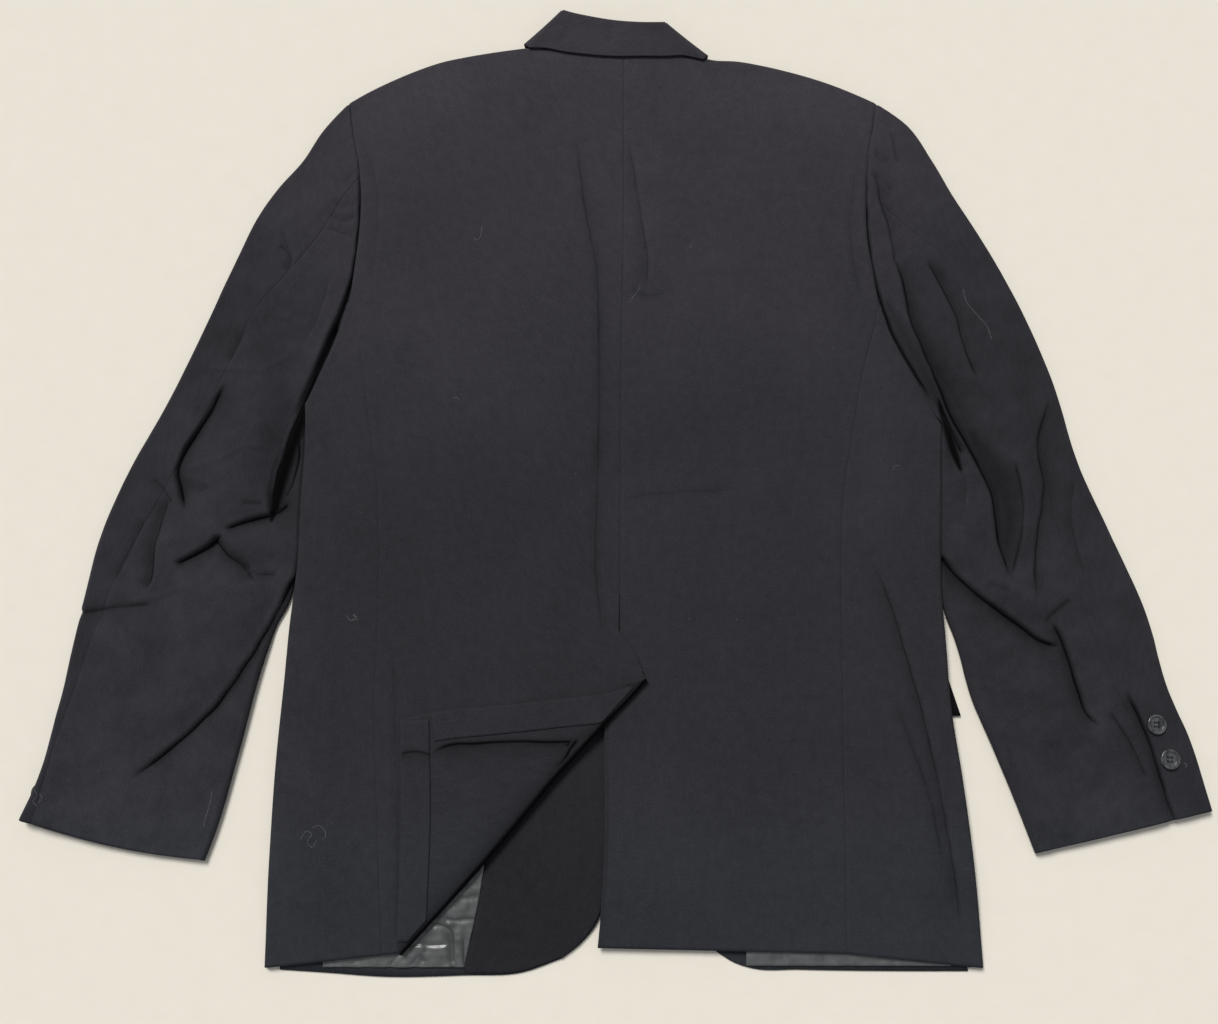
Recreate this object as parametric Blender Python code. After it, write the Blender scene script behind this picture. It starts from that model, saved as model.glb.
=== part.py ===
"""A blazer laid flat on its front with its back up, as the pieces that a tailor cuts and sews.

Metres, +Z up. X runs across the back and Y from the hem to the collar. The origin is on the floor, under
the middle of the garment. Left and right are the wearer's, which are also left and right from above.
Every piece of cloth is a sheet: a grid of points in the middle of the cloth, thickened to its wall.
"""

import math
from collections import namedtuple

import bpy
import numpy as np
from mathutils import Vector

CM = 0.01
MM = 0.001

# Walls and the room between them
CLOTH = 1.4 * MM
DOUBLE_CLOTH = 2.4 * MM
COLLAR_CLOTH = 2.0 * MM
THIN_CLOTH = 1.0 * MM
SEAM = 0.3 * MM
ROOM = 0.5 * MM

# Heights of the layers
HEM = -39.5 * CM
HEM_RISE = 8 * CM
FRONT_RAISE = 2.7 * MM
SIDE_TURN = (1.9 * MM, 2.6 * MM)
CROWN_REACH = 5 * CM
SLEEVE_TURN = 2.6 * MM
ARMHOLE_RISE = 5 * CM
CORNER_TURN = 1.6 * MM
UNDER_TAIL = 8 * MM
UNDER_ROOM = 0.8 * MM
MIDDLE = np.array((-0.05, -0.54))

# Buttons
CUFF_BUTTON = 15.2 * MM
FRONT_BUTTON = 20 * MM
BUTTON_THICKNESS = 2.4 * MM

SIDES = ("left", "right")
OUT = {"left": -1, "right": 1}


def ease(share):
    """0 to 1 with a soft start and end."""
    share = np.clip(share, 0, 1)
    return share * share * (3 - 2 * share)


def between(a, b, share):
    return a + (b - a) * share


class Line:
    """A smooth line through the rows of a table: x and y in centimetres."""

    def __init__(self, *rows):
        self.points = (np.array(rows, float) - MIDDLE) * CM
        steps = np.linalg.norm(np.diff(self.points, axis=0), axis=1)
        self.run = np.concatenate([[0], np.cumsum(steps)])

    def by_share(self, shares):
        """Points at shares of the line's length."""
        return follow(self.points, self.run, np.asarray(shares) * self.run[-1])

    def share_at(self, height):
        """The share of the line's length at a height, in centimetres."""
        order = np.argsort(self.points[:, 1])
        return np.interp((height - MIDDLE[1]) * CM, self.points[order, 1], self.run[order] / self.run[-1])

    def by_height(self, heights):
        """Points at heights up the back, in centimetres."""
        rows = self.points[np.argsort(self.points[:, 1])]
        return follow(rows, rows[:, 1], (np.asarray(heights) - MIDDLE[1]) * CM)


def follow(points, at, where):
    """Points on a cubic through rows that stand at the given places."""
    slopes = np.gradient(points, at, axis=0)
    where = np.clip(where, at[0], at[-1])
    k = np.clip(np.searchsorted(at, where, side="right") - 1, 0, len(at) - 2)
    span = (at[k + 1] - at[k])[:, None]
    t = (where - at[k])[:, None] / span
    start = (1 + 2 * t) * (1 - t) ** 2 * points[k] + t * (1 - t) ** 2 * span * slopes[k]
    end = t * t * (3 - 2 * t) * points[k + 1] - t * t * (1 - t) * span * slopes[k + 1]
    return start + end


def place(x, y):
    """One point of the plan, from centimetres."""
    return (np.array((x, y)) - MIDDLE) * CM


def nearest(plan, run):
    """How far each point of the plan is from a run of points, and its share along it."""
    steps = np.linalg.norm(np.diff(run, axis=0), axis=1)
    travelled = np.concatenate([[0], np.cumsum(steps)])
    best = np.full(plan.shape[:-1], np.inf)
    share = np.zeros(plan.shape[:-1])
    for k, step in enumerate(steps):
        along = run[k + 1] - run[k]
        t = np.clip((plan - run[k]) @ along / step**2, 0, 1)
        away = np.linalg.norm(plan - run[k] - t[..., None] * along, axis=-1)
        share = np.where(away < best, (travelled[k] + t * step) / travelled[-1], share)
        best = np.minimum(away, best)
    return best, share


# The outline and the seams, read from the hem or the cuff upwards
BODY_EDGE = {
    "left": Line(
        (-26.1, -39.1), (-26.1, -31.5), (-26.0, -24.2), (-25.7, -18.1), (-25.5, -13.5),
        (-25.2, -9.6), (-25.2, -4.0), (-25.1, 0.0), (-25.2, 4.0),
    ),
    "right": Line(
        (27.0, -39.1), (26.8, -34.1), (26.5, -29.2), (26.0, -23.8), (25.7, -21.2),
        (25.5, -15.0), (25.4, -11.5), (25.8, -4.0), (26.1, 2.2),
    ),
}
ARMHOLE = {
    "left": Line(
        (-25.2, 4.0), (-23.1, 8.7), (-22.0, 12.5), (-21.5, 16.5), (-21.3, 20.5),
        (-21.5, 23.6), (-22.0, 26.4), (-22.9, 30.5),
    ),
    "right": Line(
        (26.1, 2.2), (23.4, 7.2), (21.8, 11.0), (21.1, 14.8), (20.7, 18.5),
        (20.8, 22.0), (21.3, 26.4), (22.2, 30.5),
    ),
}
SIDE_SEAM = {
    "left": Line(
        (-17.4, -38.2), (-17.9, -30.7), (-18.6, -19.7), (-18.6, -12.0), (-19.1, -2.6),
        (-20.2, 4.3), (-21.1, 9.6), (-21.9, 12.45),
    ),
    "right": Line(
        (16.9, -38.1), (17.1, -26.1), (17.3, -17.1), (18.1, -2.4), (18.9, 1.7),
        (19.7, 5.9), (20.8, 9.8), (21.42, 12.25),
    ),
}
SHOULDER = {
    "left": Line((-22.9, 30.5), (-21.0, 31.7), (-18.5, 33.0), (-15.1, 34.4), (-12.0, 35.1), (-9.0, 35.6), (-6.4, 35.95)),
    "right": Line((22.2, 30.5), (19.1, 32.0), (13.9, 33.75), (10.4, 34.5), (7.9, 34.7), (6.3, 35.2)),
}
NECK = {
    "left": Line((-6.4, 35.95), (-4.4, 35.75), (0.6, 35.7)),
    "right": Line((6.3, 35.2), (3.6, 35.6), (0.6, 35.7)),
}
CENTRE_SEAM = Line((0.1, -14.4), (0.2, -9.6), (0.3, 6.5), (0.5, 15.3), (0.6, 29.1), (0.6, 35.7))
FOLD_LINE = Line((-15.9, -38.2), (-9.9, -31.7), (-4.6, -25.5), (2.3, -18.2))
VENT_TOP = Line((2.3, -18.2), (1.3, -16.0), (0.1, -14.4))
UNDERLAP = Line((-1.5, -37.7), (-1.3, -35.7), (-1.0, -30.6), (-1.0, -22.7), (-0.9, -15.4))
SLEEVE_OUTER = {
    "left": Line(
        (-45.1, -28.5), (-44.0, -25.6), (-43.1, -21.2), (-42.5, -16.6), (-41.8, -11.9), (-41.0, -7.1),
        (-39.4, -2.3), (-36.3, 4.4), (-33.9, 10.4), (-31.8, 16.0), (-29.2, 21.9), (-26.8, 25.0),
        (-24.5, 28.7), (-22.9, 30.5),
    ),
    "right": Line(
        (45.0, -27.9), (43.6, -21.9), (42.7, -19.5), (41.3, -12.8), (39.1, -6.7), (37.1, -1.3),
        (35.4, 6.1), (32.6, 13.8), (31.1, 17.0), (27.8, 23.1), (25.6, 27.4), (24.0, 29.4), (22.2, 30.5),
    ),
}
SLEEVE_INNER = {
    "left": Line(
        (-31.0, -31.5), (-30.4, -29.7), (-28.9, -23.4), (-27.4, -16.6), (-26.4, -13.4),
        (-25.8, -12.0), (-25.5, -9.0), (-25.6, -4.0), (-25.5, 0.0), (-25.5, 3.6),
    ),
    "right": Line(
        (31.4, -31.0), (30.1, -27.1), (28.5, -22.7), (27.3, -19.5), (26.4, -15.4),
        (25.8, -11.6), (25.9, -8.0), (26.2, -4.0), (26.4, -1.0), (26.45, 1.8),
    ),
}
HINDARM = {
    "left": Line(
        (-44.0, -28.7), (-42.9, -23.4), (-41.7, -18.4), (-40.7, -14.7), (-39.6, -11.0), (-35.6, -2.4),
        (-31.4, 7.4), (-29.4, 12.2), (-26.8, 15.4), (-24.1, 19.3), (-22.7, 21.9), (-21.5, 23.6),
    ),
    "right": Line(
        (41.7, -28.6), (39.9, -22.4), (37.6, -17.0), (36.1, -12.0), (34.9, -7.2), (34.1, -2.4),
        (33.5, 1.7), (31.8, 5.9), (29.9, 10.8), (28.1, 14.8), (25.7, 17.7), (23.3, 19.8), (20.9, 23.6),
    ),
}
FRONT_EDGE = {
    "left": Line(
        (-4.1, -38.5), (-2.9, -37.6), (-2.1, -36.8), (-1.4, -35.7), (-0.7, -33.0), (0.0, -29.5),
        (0.8, -25.5), (1.3, -21.5), (1.5, -18.0), (1.5, -10.0), (0.8, -4.0), (-0.4, 5.0),
        (-1.7, 15.0), (-3.0, 25.0), (-3.9, 30.9), (-6.2, 34.8),
    ),
    "right": Line(
        (7.4, -38.1), (6.7, -37.4), (5.8, -36.4), (5.2, -35.4), (4.1, -32.8), (3.2, -29.5),
        (2.4, -25.5), (2.0, -21.5), (1.9, -18.0), (1.9, -10.0), (2.1, -4.0), (2.45, 5.0),
        (2.8, 15.0), (3.2, 25.0), (3.6, 30.0), (6.1, 34.0),
    ),
}
FRONT_HEM = {
    "left": Line((-25.0, -39.3), (-21.7, -39.5), (-17.1, -39.8), (-11.4, -39.7), (-7.1, -39.5), (-4.1, -38.5)),
    "right": Line((25.9, -39.4), (21.2, -39.4), (13.4, -39.3), (9.9, -39.2), (8.6, -38.8), (7.4, -38.1)),
}
FACING_SEAM = Line((-11.4, -39.5), (-11.1, -37.9), (-10.4, -34.6), (-10.0, -31.8), (-9.7, -26.0), (-9.5, -18.0))
CORNER_HEM = Line((-16.3, -37.2), (-16.2, -30.0), (-16.5, -21.1))
CORNER_VENT = Line((-16.5, -21.1), (-14.3, -20.6), (-8.9, -20.0), (-4.4, -19.5), (-1.0, -19.1), (1.5, -18.35))
LAPEL_EDGE = {
    "left": Line((0.9, -9.3), (-3.5, 0.5), (-8.6, 10.0), (-12.0, 18.5), (-13.4, 23.6)),
    "right": Line((2.5, -9.3), (5.4, 0.5), (8.9, 9.5), (11.6, 18.0), (12.9, 22.8)),
}
ROLL_LINE = {
    "left": Line((1.3, -9.3), (-3.75, 30.2)),
    "right": Line((2.1, -9.3), (3.45, 29.5)),
}
GORGE = {
    "left": Line((-3.75, 30.2), (-9.9, 25.5), (-13.4, 23.6)),
    "right": Line((3.45, 29.5), (9.4, 24.7), (12.9, 22.8)),
}
COLLAR_EDGE = Line((-8.0, 36.15), (-4.8, 35.2), (-1.0, 34.6), (2.0, 34.6), (5.0, 34.75), (7.9, 35.05))
COLLAR_FOLD = Line((-4.85, 38.75), (-2.3, 38.15), (-0.4, 37.8), (2.0, 37.6), (4.35, 37.6))
COLLAR_TIP = {
    "left": np.array([(-12.6, 26.8), (-10.0, 25.85), (-7.95, 27.4), (-5.9, 28.95), (-3.75, 30.6)]),
    "right": np.array([(12.1, 26.0), (9.5, 25.05), (7.45, 26.7), (5.4, 28.3), (3.45, 29.9)]),
}
FLAP_CORNERS = {
    "left": ((-24.4, -21.0), (-9.2, -21.2), (-8.9, -15.8), (-23.6, -15.6)),
    "right": ((26.45, -20.85), (11.2, -21.2), (10.6, -15.8), (24.9, -15.4)),
}

# How high the cloth lies over the layers below, in millimetres at heights up the back in centimetres
Crown = namedtuple("Crown", "up rise")
BACK_CROWN = (Crown(-39, 5.2), Crown(-33, 8.5), Crown(-15, 10.5), Crown(10, 12.0), Crown(28, 12.2), Crown(36, 11.3))
SLEEVE_CROWN = (Crown(-32, 5.8), Crown(-24, 8.0), Crown(-12, 10.0), Crown(5, 11.0), Crown(25, 12.2))

# The largest folds: start, middle and end in centimetres, rise in millimetres, width in centimetres
Fold = namedtuple("Fold", "x0 y0 xm ym x1 y1 rise width")
BACK_FOLDS = (
    Fold(-3.6, 28.0, -1.7, 13.0, -1.5, -2.0, -1.3, 1.6),
    Fold(-1.5, 0.0, -1.8, -9.0, -1.1, -16.0, -1.2, 1.6),
    Fold(1.2, 27.0, 2.4, 20.0, 2.4, 12.5, 1.2, 1.6),
    Fold(22.2, -15.0, 22.8, -25.0, 25.2, -38.0, 2.2, 1.9),
    Fold(20.2, -20.0, 20.6, -29.0, 21.2, -38.0, -1.4, 1.8),
    Fold(-16.9, -14.0, -16.6, -26.0, -16.3, -39.0, 1.4, 1.8),
    Fold(-22.6, -12.0, -22.9, -24.0, -23.2, -37.0, 1.0, 2.4),
)
SLEEVE_FOLDS = {
    "left": (
        Fold(-24.6, 4.6, -26.6, 0.6, -27.6, -5.2, -5.5, 1.4),
        Fold(-27.2, 7.5, -29.6, 1.0, -30.0, -4.6, 2.0, 1.8),
        Fold(-31.6, 6.0, -33.6, 0.5, -34.3, -5.6, -3.0, 1.4),
        Fold(-26.8, -5.0, -29.4, -5.8, -32.2, -6.4, -3.0, 1.2),
        Fold(-32.4, -6.8, -29.2, -9.4, -26.0, -10.2, -2.6, 1.3),
        Fold(-31.6, -7.2, -33.2, -8.2, -35.0, -9.2, -2.4, 1.2),
        Fold(-35.4, -3.6, -36.5, -7.0, -36.6, -11.0, -2.2, 1.2),
        Fold(-42.0, -12.8, -38.0, -12.4, -33.4, -10.9, -1.8, 1.3),
        Fold(-25.2, -9.8, -29.4, -18.2, -37.2, -26.0, -2.8, 1.4),
        Fold(-24.6, -13.0, -29.0, -20.5, -34.0, -25.8, 1.6, 1.7),
    ),
    "right": (
        Fold(22.3, 24.0, 23.0, 15.5, 24.8, 9.0, -2.6, 1.3),
        Fold(24.6, 9.8, 27.7, 1.6, 31.2, -11.5, -5.0, 1.4),
        Fold(26.6, 11.5, 29.8, 2.0, 33.0, -7.0, 2.2, 1.8),
        Fold(25.6, 16.2, 27.9, 11.3, 29.5, 7.0, -2.2, 1.2),
        Fold(34.5, 3.2, 34.1, -3.0, 32.4, -12.0, -2.4, 1.3),
        Fold(25.3, -8.0, 29.2, -12.4, 34.8, -15.9, -4.6, 1.3),
        Fold(26.2, -5.6, 29.8, -10.2, 34.0, -13.6, 2.2, 1.7),
        Fold(33.8, -13.4, 35.0, -17.5, 36.6, -22.2, -2.6, 1.2),
        Fold(26.0, 2.4, 26.8, 0.2, 27.6, -2.2, -3.2, 1.2),
    ),
}

# Grid rows: how many steps each stretch of a seam has, and where each stretch ends, in centimetres
FOLD_STEPS = 10
VENT_STEPS = 2
WAIST_STEPS = 7
ARMHOLE_LOW_STEPS = 4
ARMHOLE_MID_STEPS = 4
ARMHOLE_TOP_STEPS = 3
SHOULDER_STEPS = 8
NECK_STEPS = 3
SIDE_ACROSS = 6
SLEEVE_HEAD_STEPS = 7
SLEEVE_STEPS = 20
UNDERSLEEVE_ACROSS = 8
TURN_STEPS = 3
Level = namedtuple("Level", "underarm side_top hindarm tip")
LEVELS = {"left": Level(4.0, 12.5, 23.6, 30.5), "right": Level(2.2, 12.3, 23.6, 30.5)}
TIP_LEVEL = -18.2
VENT_LEVEL = -14.4
FRONT_ROWS = (0, 2, 4, 6, 8, 10, 12, 14, 16, 19)
FRONT_EDGE_ROWS = (-37.5, -36.3, -34.5, -31.5, -27.0, -22.0, -16.0, -8.0, 0.0)
Beside = namedtuple("Beside", "hindarm outer")
BESIDE_UNDERARM = {"left": Beside(7.5, 11.0), "right": Beside(6.0, 9.5)}
TIP_ROOM = 0.6 * MM
CUFF_SAG = {"left": 5 * MM, "right": 0.5 * MM}


def levels(start, *stretches):
    """Heights from a start, through stretches of an end and a number of steps."""
    heights = [start]
    for end, steps in stretches:
        heights.extend(np.linspace(heights[-1], end, steps + 1)[1:])
    return np.array(heights)


def crown(plan, rows):
    """The crown table's height at each point, in metres."""
    up = [(row.up - MIDDLE[1]) * CM for row in rows]
    return np.interp(plan[..., 1], up, [row.rise * MM for row in rows])


def folds_at(plan, folds):
    """The rise of every fold at each point, tapered at the fold's ends."""
    total = np.zeros(plan.shape[:-1])
    for fold in folds:
        line = Line((fold.x0, fold.y0), (fold.xm, fold.ym), (fold.x1, fold.y1))
        away, share = nearest(plan, line.by_share(np.linspace(0, 1, 9)))
        taper = ease(share / 0.25) * ease((1 - share) / 0.25)
        total += fold.rise * MM * taper * np.exp(-((away / (fold.width * CM)) ** 2))
    return total


def above_hem(plan):
    return ease((plan[..., 1] - (HEM - MIDDLE[1] * CM)) / HEM_RISE)


def front_height(plan):
    """Middle of the fronts: on the floor at the hem, and on the lapels and flaps further up."""
    return CLOTH / 2 + FRONT_RAISE * above_hem(plan)


def lining_height(plan):
    return front_height(plan) + CLOTH / 2 + ROOM + THIN_CLOTH / 2


def side_turn(plan):
    """Radius of the half turn that carries the cloth round the body's edge."""
    return between(*SIDE_TURN, above_hem(plan))


def body_outline():
    lines = [BODY_EDGE[side] for side in SIDES] + [SHOULDER[side] for side in SIDES]
    return [line.by_share(np.linspace(0, 1, 15)) for line in lines]


def back_height(plan):
    """Middle of the back and sides: low at the outline, and crowned between."""
    reach = np.min([nearest(plan, run)[0] for run in body_outline()], axis=0)
    edge = front_height(plan) + 2 * side_turn(plan)
    top = np.maximum(crown(plan, BACK_CROWN), edge)
    lain = between(edge, top, ease(reach / CROWN_REACH))
    lain = lain + folds_at(plan, BACK_FOLDS) * ease(reach / (3 * CM))
    return np.maximum(lain, lining_height(plan) + THIN_CLOTH / 2 + ROOM + CLOTH / 2)


def overlap_height(plan):
    """Middle of the left back: it lies over the right back at the top of the vent."""
    near = ease((plan[..., 0] - place(-4.2, 0)[0]) / (2.8 * CM))
    low = ease((place(0, -10.5)[1] - plan[..., 1]) / (3.4 * CM))
    return back_height(plan) + (CLOTH + ROOM) * near * low


def corner_height(plan):
    """Middle of the left back's corner, turned up and over on to the back."""
    return overlap_height(plan) + 2 * CORNER_TURN


def corner_facing_height(plan):
    return corner_height(plan) + CLOTH / 2 + 2 * ROOM + THIN_CLOTH / 2


def sleeve_floor(plan, side):
    """Middle of a sleeve's lower layer: level with the front at the armhole, then on the floor."""
    away = nearest(plan, ARMHOLE[side].by_share(np.linspace(0, 1, 15)))[0]
    height = CLOTH / 2 + FRONT_RAISE * (1 - ease(away / ARMHOLE_RISE))
    if side == "left":
        from_button = nearest(plan, np.array([place(-42.9, -23.2), place(-43.9, -26.6)]))[0]
        height = np.maximum(height, CLOTH / 2 + FRONT_RAISE * (1 - ease((from_button - 2 * CM) / (3 * CM))))
    return height


def sleeve_height(plan, side):
    """Middle of a sleeve's upper layer, with its folds."""
    lines = (SLEEVE_OUTER[side], SLEEVE_INNER[side])
    reach = np.min([nearest(plan, line.by_share(np.linspace(0, 1, 25)))[0] for line in lines], axis=0)
    floor = sleeve_floor(plan, side)
    edge = floor + 2 * SLEEVE_TURN
    top = np.maximum(crown(plan, SLEEVE_CROWN), edge)
    lain = between(edge, top, ease(reach / CROWN_REACH))
    lain = lain + folds_at(plan, SLEEVE_FOLDS[side]) * ease(reach / (1.2 * CM))
    return np.maximum(lain, floor + CLOTH + ROOM)


def patch(start, left, end, right):
    """A grid of points between four runs: start and end go from left to right, left and right go along."""
    u = np.linspace(0, 1, len(start))[:, None, None]
    v = np.linspace(0, 1, len(left))[None, :, None]
    sides = (1 - u) * left[None] + u * right[None]
    ends = (1 - v) * start[:, None] + v * end[:, None]
    low = (1 - u) * start[0] + u * start[-1]
    high = (1 - u) * end[0] + u * end[-1]
    return sides + ends - (1 - v) * low - v * high


def open_seam(grid, start=0.0, end=0.0, left=0.0, right=0.0):
    """Moves a grid's borders inwards, to leave room along its seams."""
    grid = grid.copy()
    for axis, index, inner, amount in ((0, 0, 1, left), (0, -1, -2, right), (1, 0, 1, start), (1, -1, -2, end)):
        if not amount:
            continue
        border = grid[index] if axis == 0 else grid[:, index]
        inside = grid[inner] if axis == 0 else grid[:, inner]
        step = inside - border
        border += step / np.linalg.norm(step, axis=-1, keepdims=True) * amount
    return grid


def towards(start, end, distance):
    return start + (end - start) / np.linalg.norm(end - start) * distance


def outward(run, sign):
    """Unit normals of a run of points, to its right where the sign is +1."""
    along = np.gradient(run, axis=0)
    along /= np.linalg.norm(along, axis=1, keepdims=True)
    return sign * np.stack([along[:, 1], -along[:, 0]], axis=1)


def lifted(plan, height):
    return np.concatenate([plan, height[..., None]], axis=-1)


def half_turn(base, out, top, radius, tail=0.0, steps=TURN_STEPS, reach=None):
    """Runs of points that carry an edge round a half turn to the layer below, and on under it."""
    runs = []
    radius = np.broadcast_to(radius, top.shape)
    reach = radius if reach is None else reach
    for k in range(1, steps + 1):
        angle = math.pi * k / steps
        plan = base + out * (reach * math.sin(angle))[:, None]
        runs.append(lifted(plan, top - radius * (1 - math.cos(angle))))
    if tail:
        runs.append(lifted(base - out * tail, top - 2 * radius))
    return np.stack(runs)


def absent(across, along):
    return np.full((across, along, 3), np.nan)


def in_full(part, along, first=0):
    """A grid that holds a part of itself, with absent points on both sides of it."""
    whole = absent(len(part), along)
    whole[:, first : first + part.shape[1]] = part
    return whole


def material(name, colour, roughness, metallic=0.0):
    made = bpy.data.materials.new(name)
    made.use_nodes = True
    shader = made.node_tree.nodes["Principled BSDF"]
    shader.inputs["Base Color"].default_value = (*colour, 1)
    shader.inputs["Roughness"].default_value = roughness
    shader.inputs["Metallic"].default_value = metallic
    made.diffuse_color = (*colour, 1)
    return made


def add(name, mesh, finish):
    mesh.materials.append(finish)
    made = bpy.data.objects.new(name, mesh)
    bpy.context.scene.collection.objects.link(made)
    return made


def sheet(name, points, wall, finish):
    """A piece of cloth: the grid's faces, where all four corners are present, thickened both ways."""
    present = ~np.isnan(points[..., 0])
    index = np.cumsum(present.ravel()).reshape(present.shape) - 1
    faces = []
    for i in range(points.shape[0] - 1):
        for j in range(points.shape[1] - 1):
            corners = ((i, j), (i + 1, j), (i + 1, j + 1), (i, j + 1))
            if all(present[corner] for corner in corners):
                faces.append([int(index[corner]) for corner in corners])
    mesh = bpy.data.meshes.new(name)
    mesh.from_pydata(points[present].tolist(), [], faces)
    mesh.shade_smooth()
    made = add(name, mesh, finish)
    wall_of = made.modifiers.new("Wall", "SOLIDIFY")
    wall_of.thickness = wall
    wall_of.offset = 0
    wall_of.use_even_offset = True
    wall_of.use_rim = True
    return made


def heights_up(side):
    """Heights of the back's rows from the top of the vent to the tip of the shoulder."""
    level = LEVELS[side]
    return levels(
        VENT_LEVEL,
        (level.underarm, WAIST_STEPS),
        (level.side_top, ARMHOLE_LOW_STEPS),
        (level.hindarm, ARMHOLE_MID_STEPS),
        (level.tip, ARMHOLE_TOP_STEPS),
    )


def from_hem(line, side, last):
    """Points up a line from its own hem end, on the back's rows, to the last of them."""
    start = line.points[:, 1].min() / CM + MIDDLE[1]
    low = levels(start, (TIP_LEVEL, FOLD_STEPS), (VENT_LEVEL, VENT_STEPS))
    heights = np.concatenate([low, heights_up(side)[1:]])
    return line.by_height(heights[: last + 1])


UNDERARM_ROW = FOLD_STEPS + VENT_STEPS + WAIST_STEPS
SIDE_TOP_ROW = UNDERARM_ROW + ARMHOLE_LOW_STEPS
TIP_ROW = SIDE_TOP_ROW + ARMHOLE_MID_STEPS + ARMHOLE_TOP_STEPS


def tip_out(side):
    """The way out at the tip of the shoulder, halfway between the shoulder's and the sleeve's."""
    shoulder = outward(SHOULDER[side].by_share((0, 0.05)), OUT[side])[0]
    sleeve = outward(SLEEVE_OUTER[side].by_share((0.95, 1)), OUT[side])[-1]
    both = shoulder + sleeve
    return both / np.linalg.norm(both)


def shoulder_base(side):
    """The shoulder's line, inside its half turn, and the way out from it."""
    run = SHOULDER[side].by_share(np.linspace(0, 1, SHOULDER_STEPS + 1))
    out = outward(run, OUT[side])
    out[0] = tip_out(side)
    return run - out * (SIDE_TURN[1] + CLOTH / 2), out


def edge_base(side):
    """The body's edge, inside its half turn, and the way out from it."""
    run = from_hem(BODY_EDGE[side], side, UNDERARM_ROW)
    out = outward(run, OUT[side])
    return run - out * (side_turn(run) + CLOTH / 2)[:, None], out


def armhole_rows(side):
    """The armhole's points on the back's rows, from the underarm to inside the shoulder's tip."""
    run = ARMHOLE[side].by_height(heights_up(side)[WAIST_STEPS:])
    run[-1] = shoulder_base(side)[0][0]
    return run


def back(side, wool):
    """A back, from its side seam to the centre, rolled over the shoulder to meet the front."""
    seam = from_hem(SIDE_SEAM[side], side, SIDE_TOP_ROW)
    outer = np.concatenate([seam, armhole_rows(side)[ARMHOLE_LOW_STEPS + 1 :]])
    upper = levels(VENT_LEVEL, (LEVELS[side].underarm, WAIST_STEPS), (35.7, TIP_ROW - UNDERARM_ROW))
    centre = CENTRE_SEAM.by_height(upper)
    if side == "left":
        fold = FOLD_LINE.by_share(np.linspace(0, 1, FOLD_STEPS + 1))
        fold_out = np.tile(outward(fold, 1)[FOLD_STEPS // 2], (FOLD_STEPS + 1, 1))
        fold = fold - fold_out * (CORNER_TURN + CLOTH / 2)
        vent = VENT_TOP.by_share(np.linspace(0, 1, VENT_STEPS + 1))[1:-1]
        inner = np.concatenate([fold, vent, centre])
    else:
        lap = UNDERLAP.by_height(levels(-37.7, (-15.4, FOLD_STEPS + VENT_STEPS - 1)))
        inner = np.concatenate([lap, centre])
    shoulder, out = shoulder_base(side)
    neck = NECK[side].by_share(np.linspace(0, 1, NECK_STEPS + 1))[1:]
    across = SHOULDER_STEPS + NECK_STEPS + 1
    hem = between(outer[0], inner[0], np.linspace(0, 1, across)[:, None])
    plan = patch(hem, outer, np.concatenate([shoulder, neck]), inner)
    plan = open_seam(plan, left=SEAM / 2, right=SEAM / 2)
    plan[0, -1] = towards(plan[0, -1], plan[1, -1], TIP_ROOM)
    height = overlap_height(plan) if side == "left" else back_height(plan)
    points = lifted(plan, height)
    roll = half_turn(plan[: SHOULDER_STEPS + 1, -1], out, height[: SHOULDER_STEPS + 1, -1], SIDE_TURN[1], UNDER_TAIL)
    over = np.swapaxes(in_full(roll, across), 0, 1)
    points = np.concatenate([points, over], axis=1)
    if side == "left":
        points = np.concatenate([points, turned_corner(plan[-1], fold_out, points.shape[1])])
    sheet("back_" + side, points, CLOTH, wool)


def corner_outline():
    """The turned-up corner's outer border: the hem to its corner, then the vent's edge."""
    half = np.linspace(0, 1, FOLD_STEPS // 2 + 1)
    return np.concatenate([CORNER_HEM.by_share(half), CORNER_VENT.by_share(half)[1:]])


def corner_plan(base, across=5):
    """The turned-up corner's grid, from the fold to its outer border."""
    share = np.linspace(0, 1, across)[:, None, None]
    return between(base[None], corner_outline()[None], share)


def turned_corner(inner, out, along):
    """The grid that goes on from the left back's fold, round a half turn and over the back."""
    base = inner[: FOLD_STEPS + 1]
    low = overlap_height(base)
    turn = half_turn(base, out, low, -CORNER_TURN)
    turn[:, :, :2] = 2 * base - turn[:, :, :2]
    flat = corner_plan(base)[1:]
    both = np.concatenate([turn, lifted(flat, corner_height(flat))])
    return in_full(both, along)


def side_panel(side, wool):
    """A side panel, from the side seam round the body's edge to the front."""
    seam = from_hem(SIDE_SEAM[side], side, SIDE_TOP_ROW)
    base, out = edge_base(side)
    outer = np.concatenate([base, armhole_rows(side)[1 : ARMHOLE_LOW_STEPS + 1]])
    share = np.linspace(0, 1, SIDE_ACROSS + 1)[:, None]
    plan = patch(between(seam[0], outer[0], share), seam, between(seam[-1], outer[-1], share), outer)
    plan = open_seam(plan, left=SEAM / 2)
    plan[-1, UNDERARM_ROW + 1 :] -= (OUT[side] * SEAM / 2, 0)
    height = back_height(plan)
    top = height[-1, : UNDERARM_ROW + 1]
    bottom = front_height(base)
    roll = half_turn(base, out, top, (top - bottom) / 2, UNDER_TAIL)
    whole = in_full(roll, plan.shape[1])
    sheet("side_" + side, np.concatenate([lifted(plan, height), whole]), CLOTH, wool)


def front_armhole(side):
    """The armhole on the fronts' layer, from the underarm to under the shoulder's tip."""
    level = LEVELS[side]
    heights = levels(level.underarm, (level.side_top, 3), (level.hindarm, 2), (level.tip, 3))
    run = ARMHOLE[side].by_height(heights)
    run[-1] = shoulder_base(side)[0][0]
    return run


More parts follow.
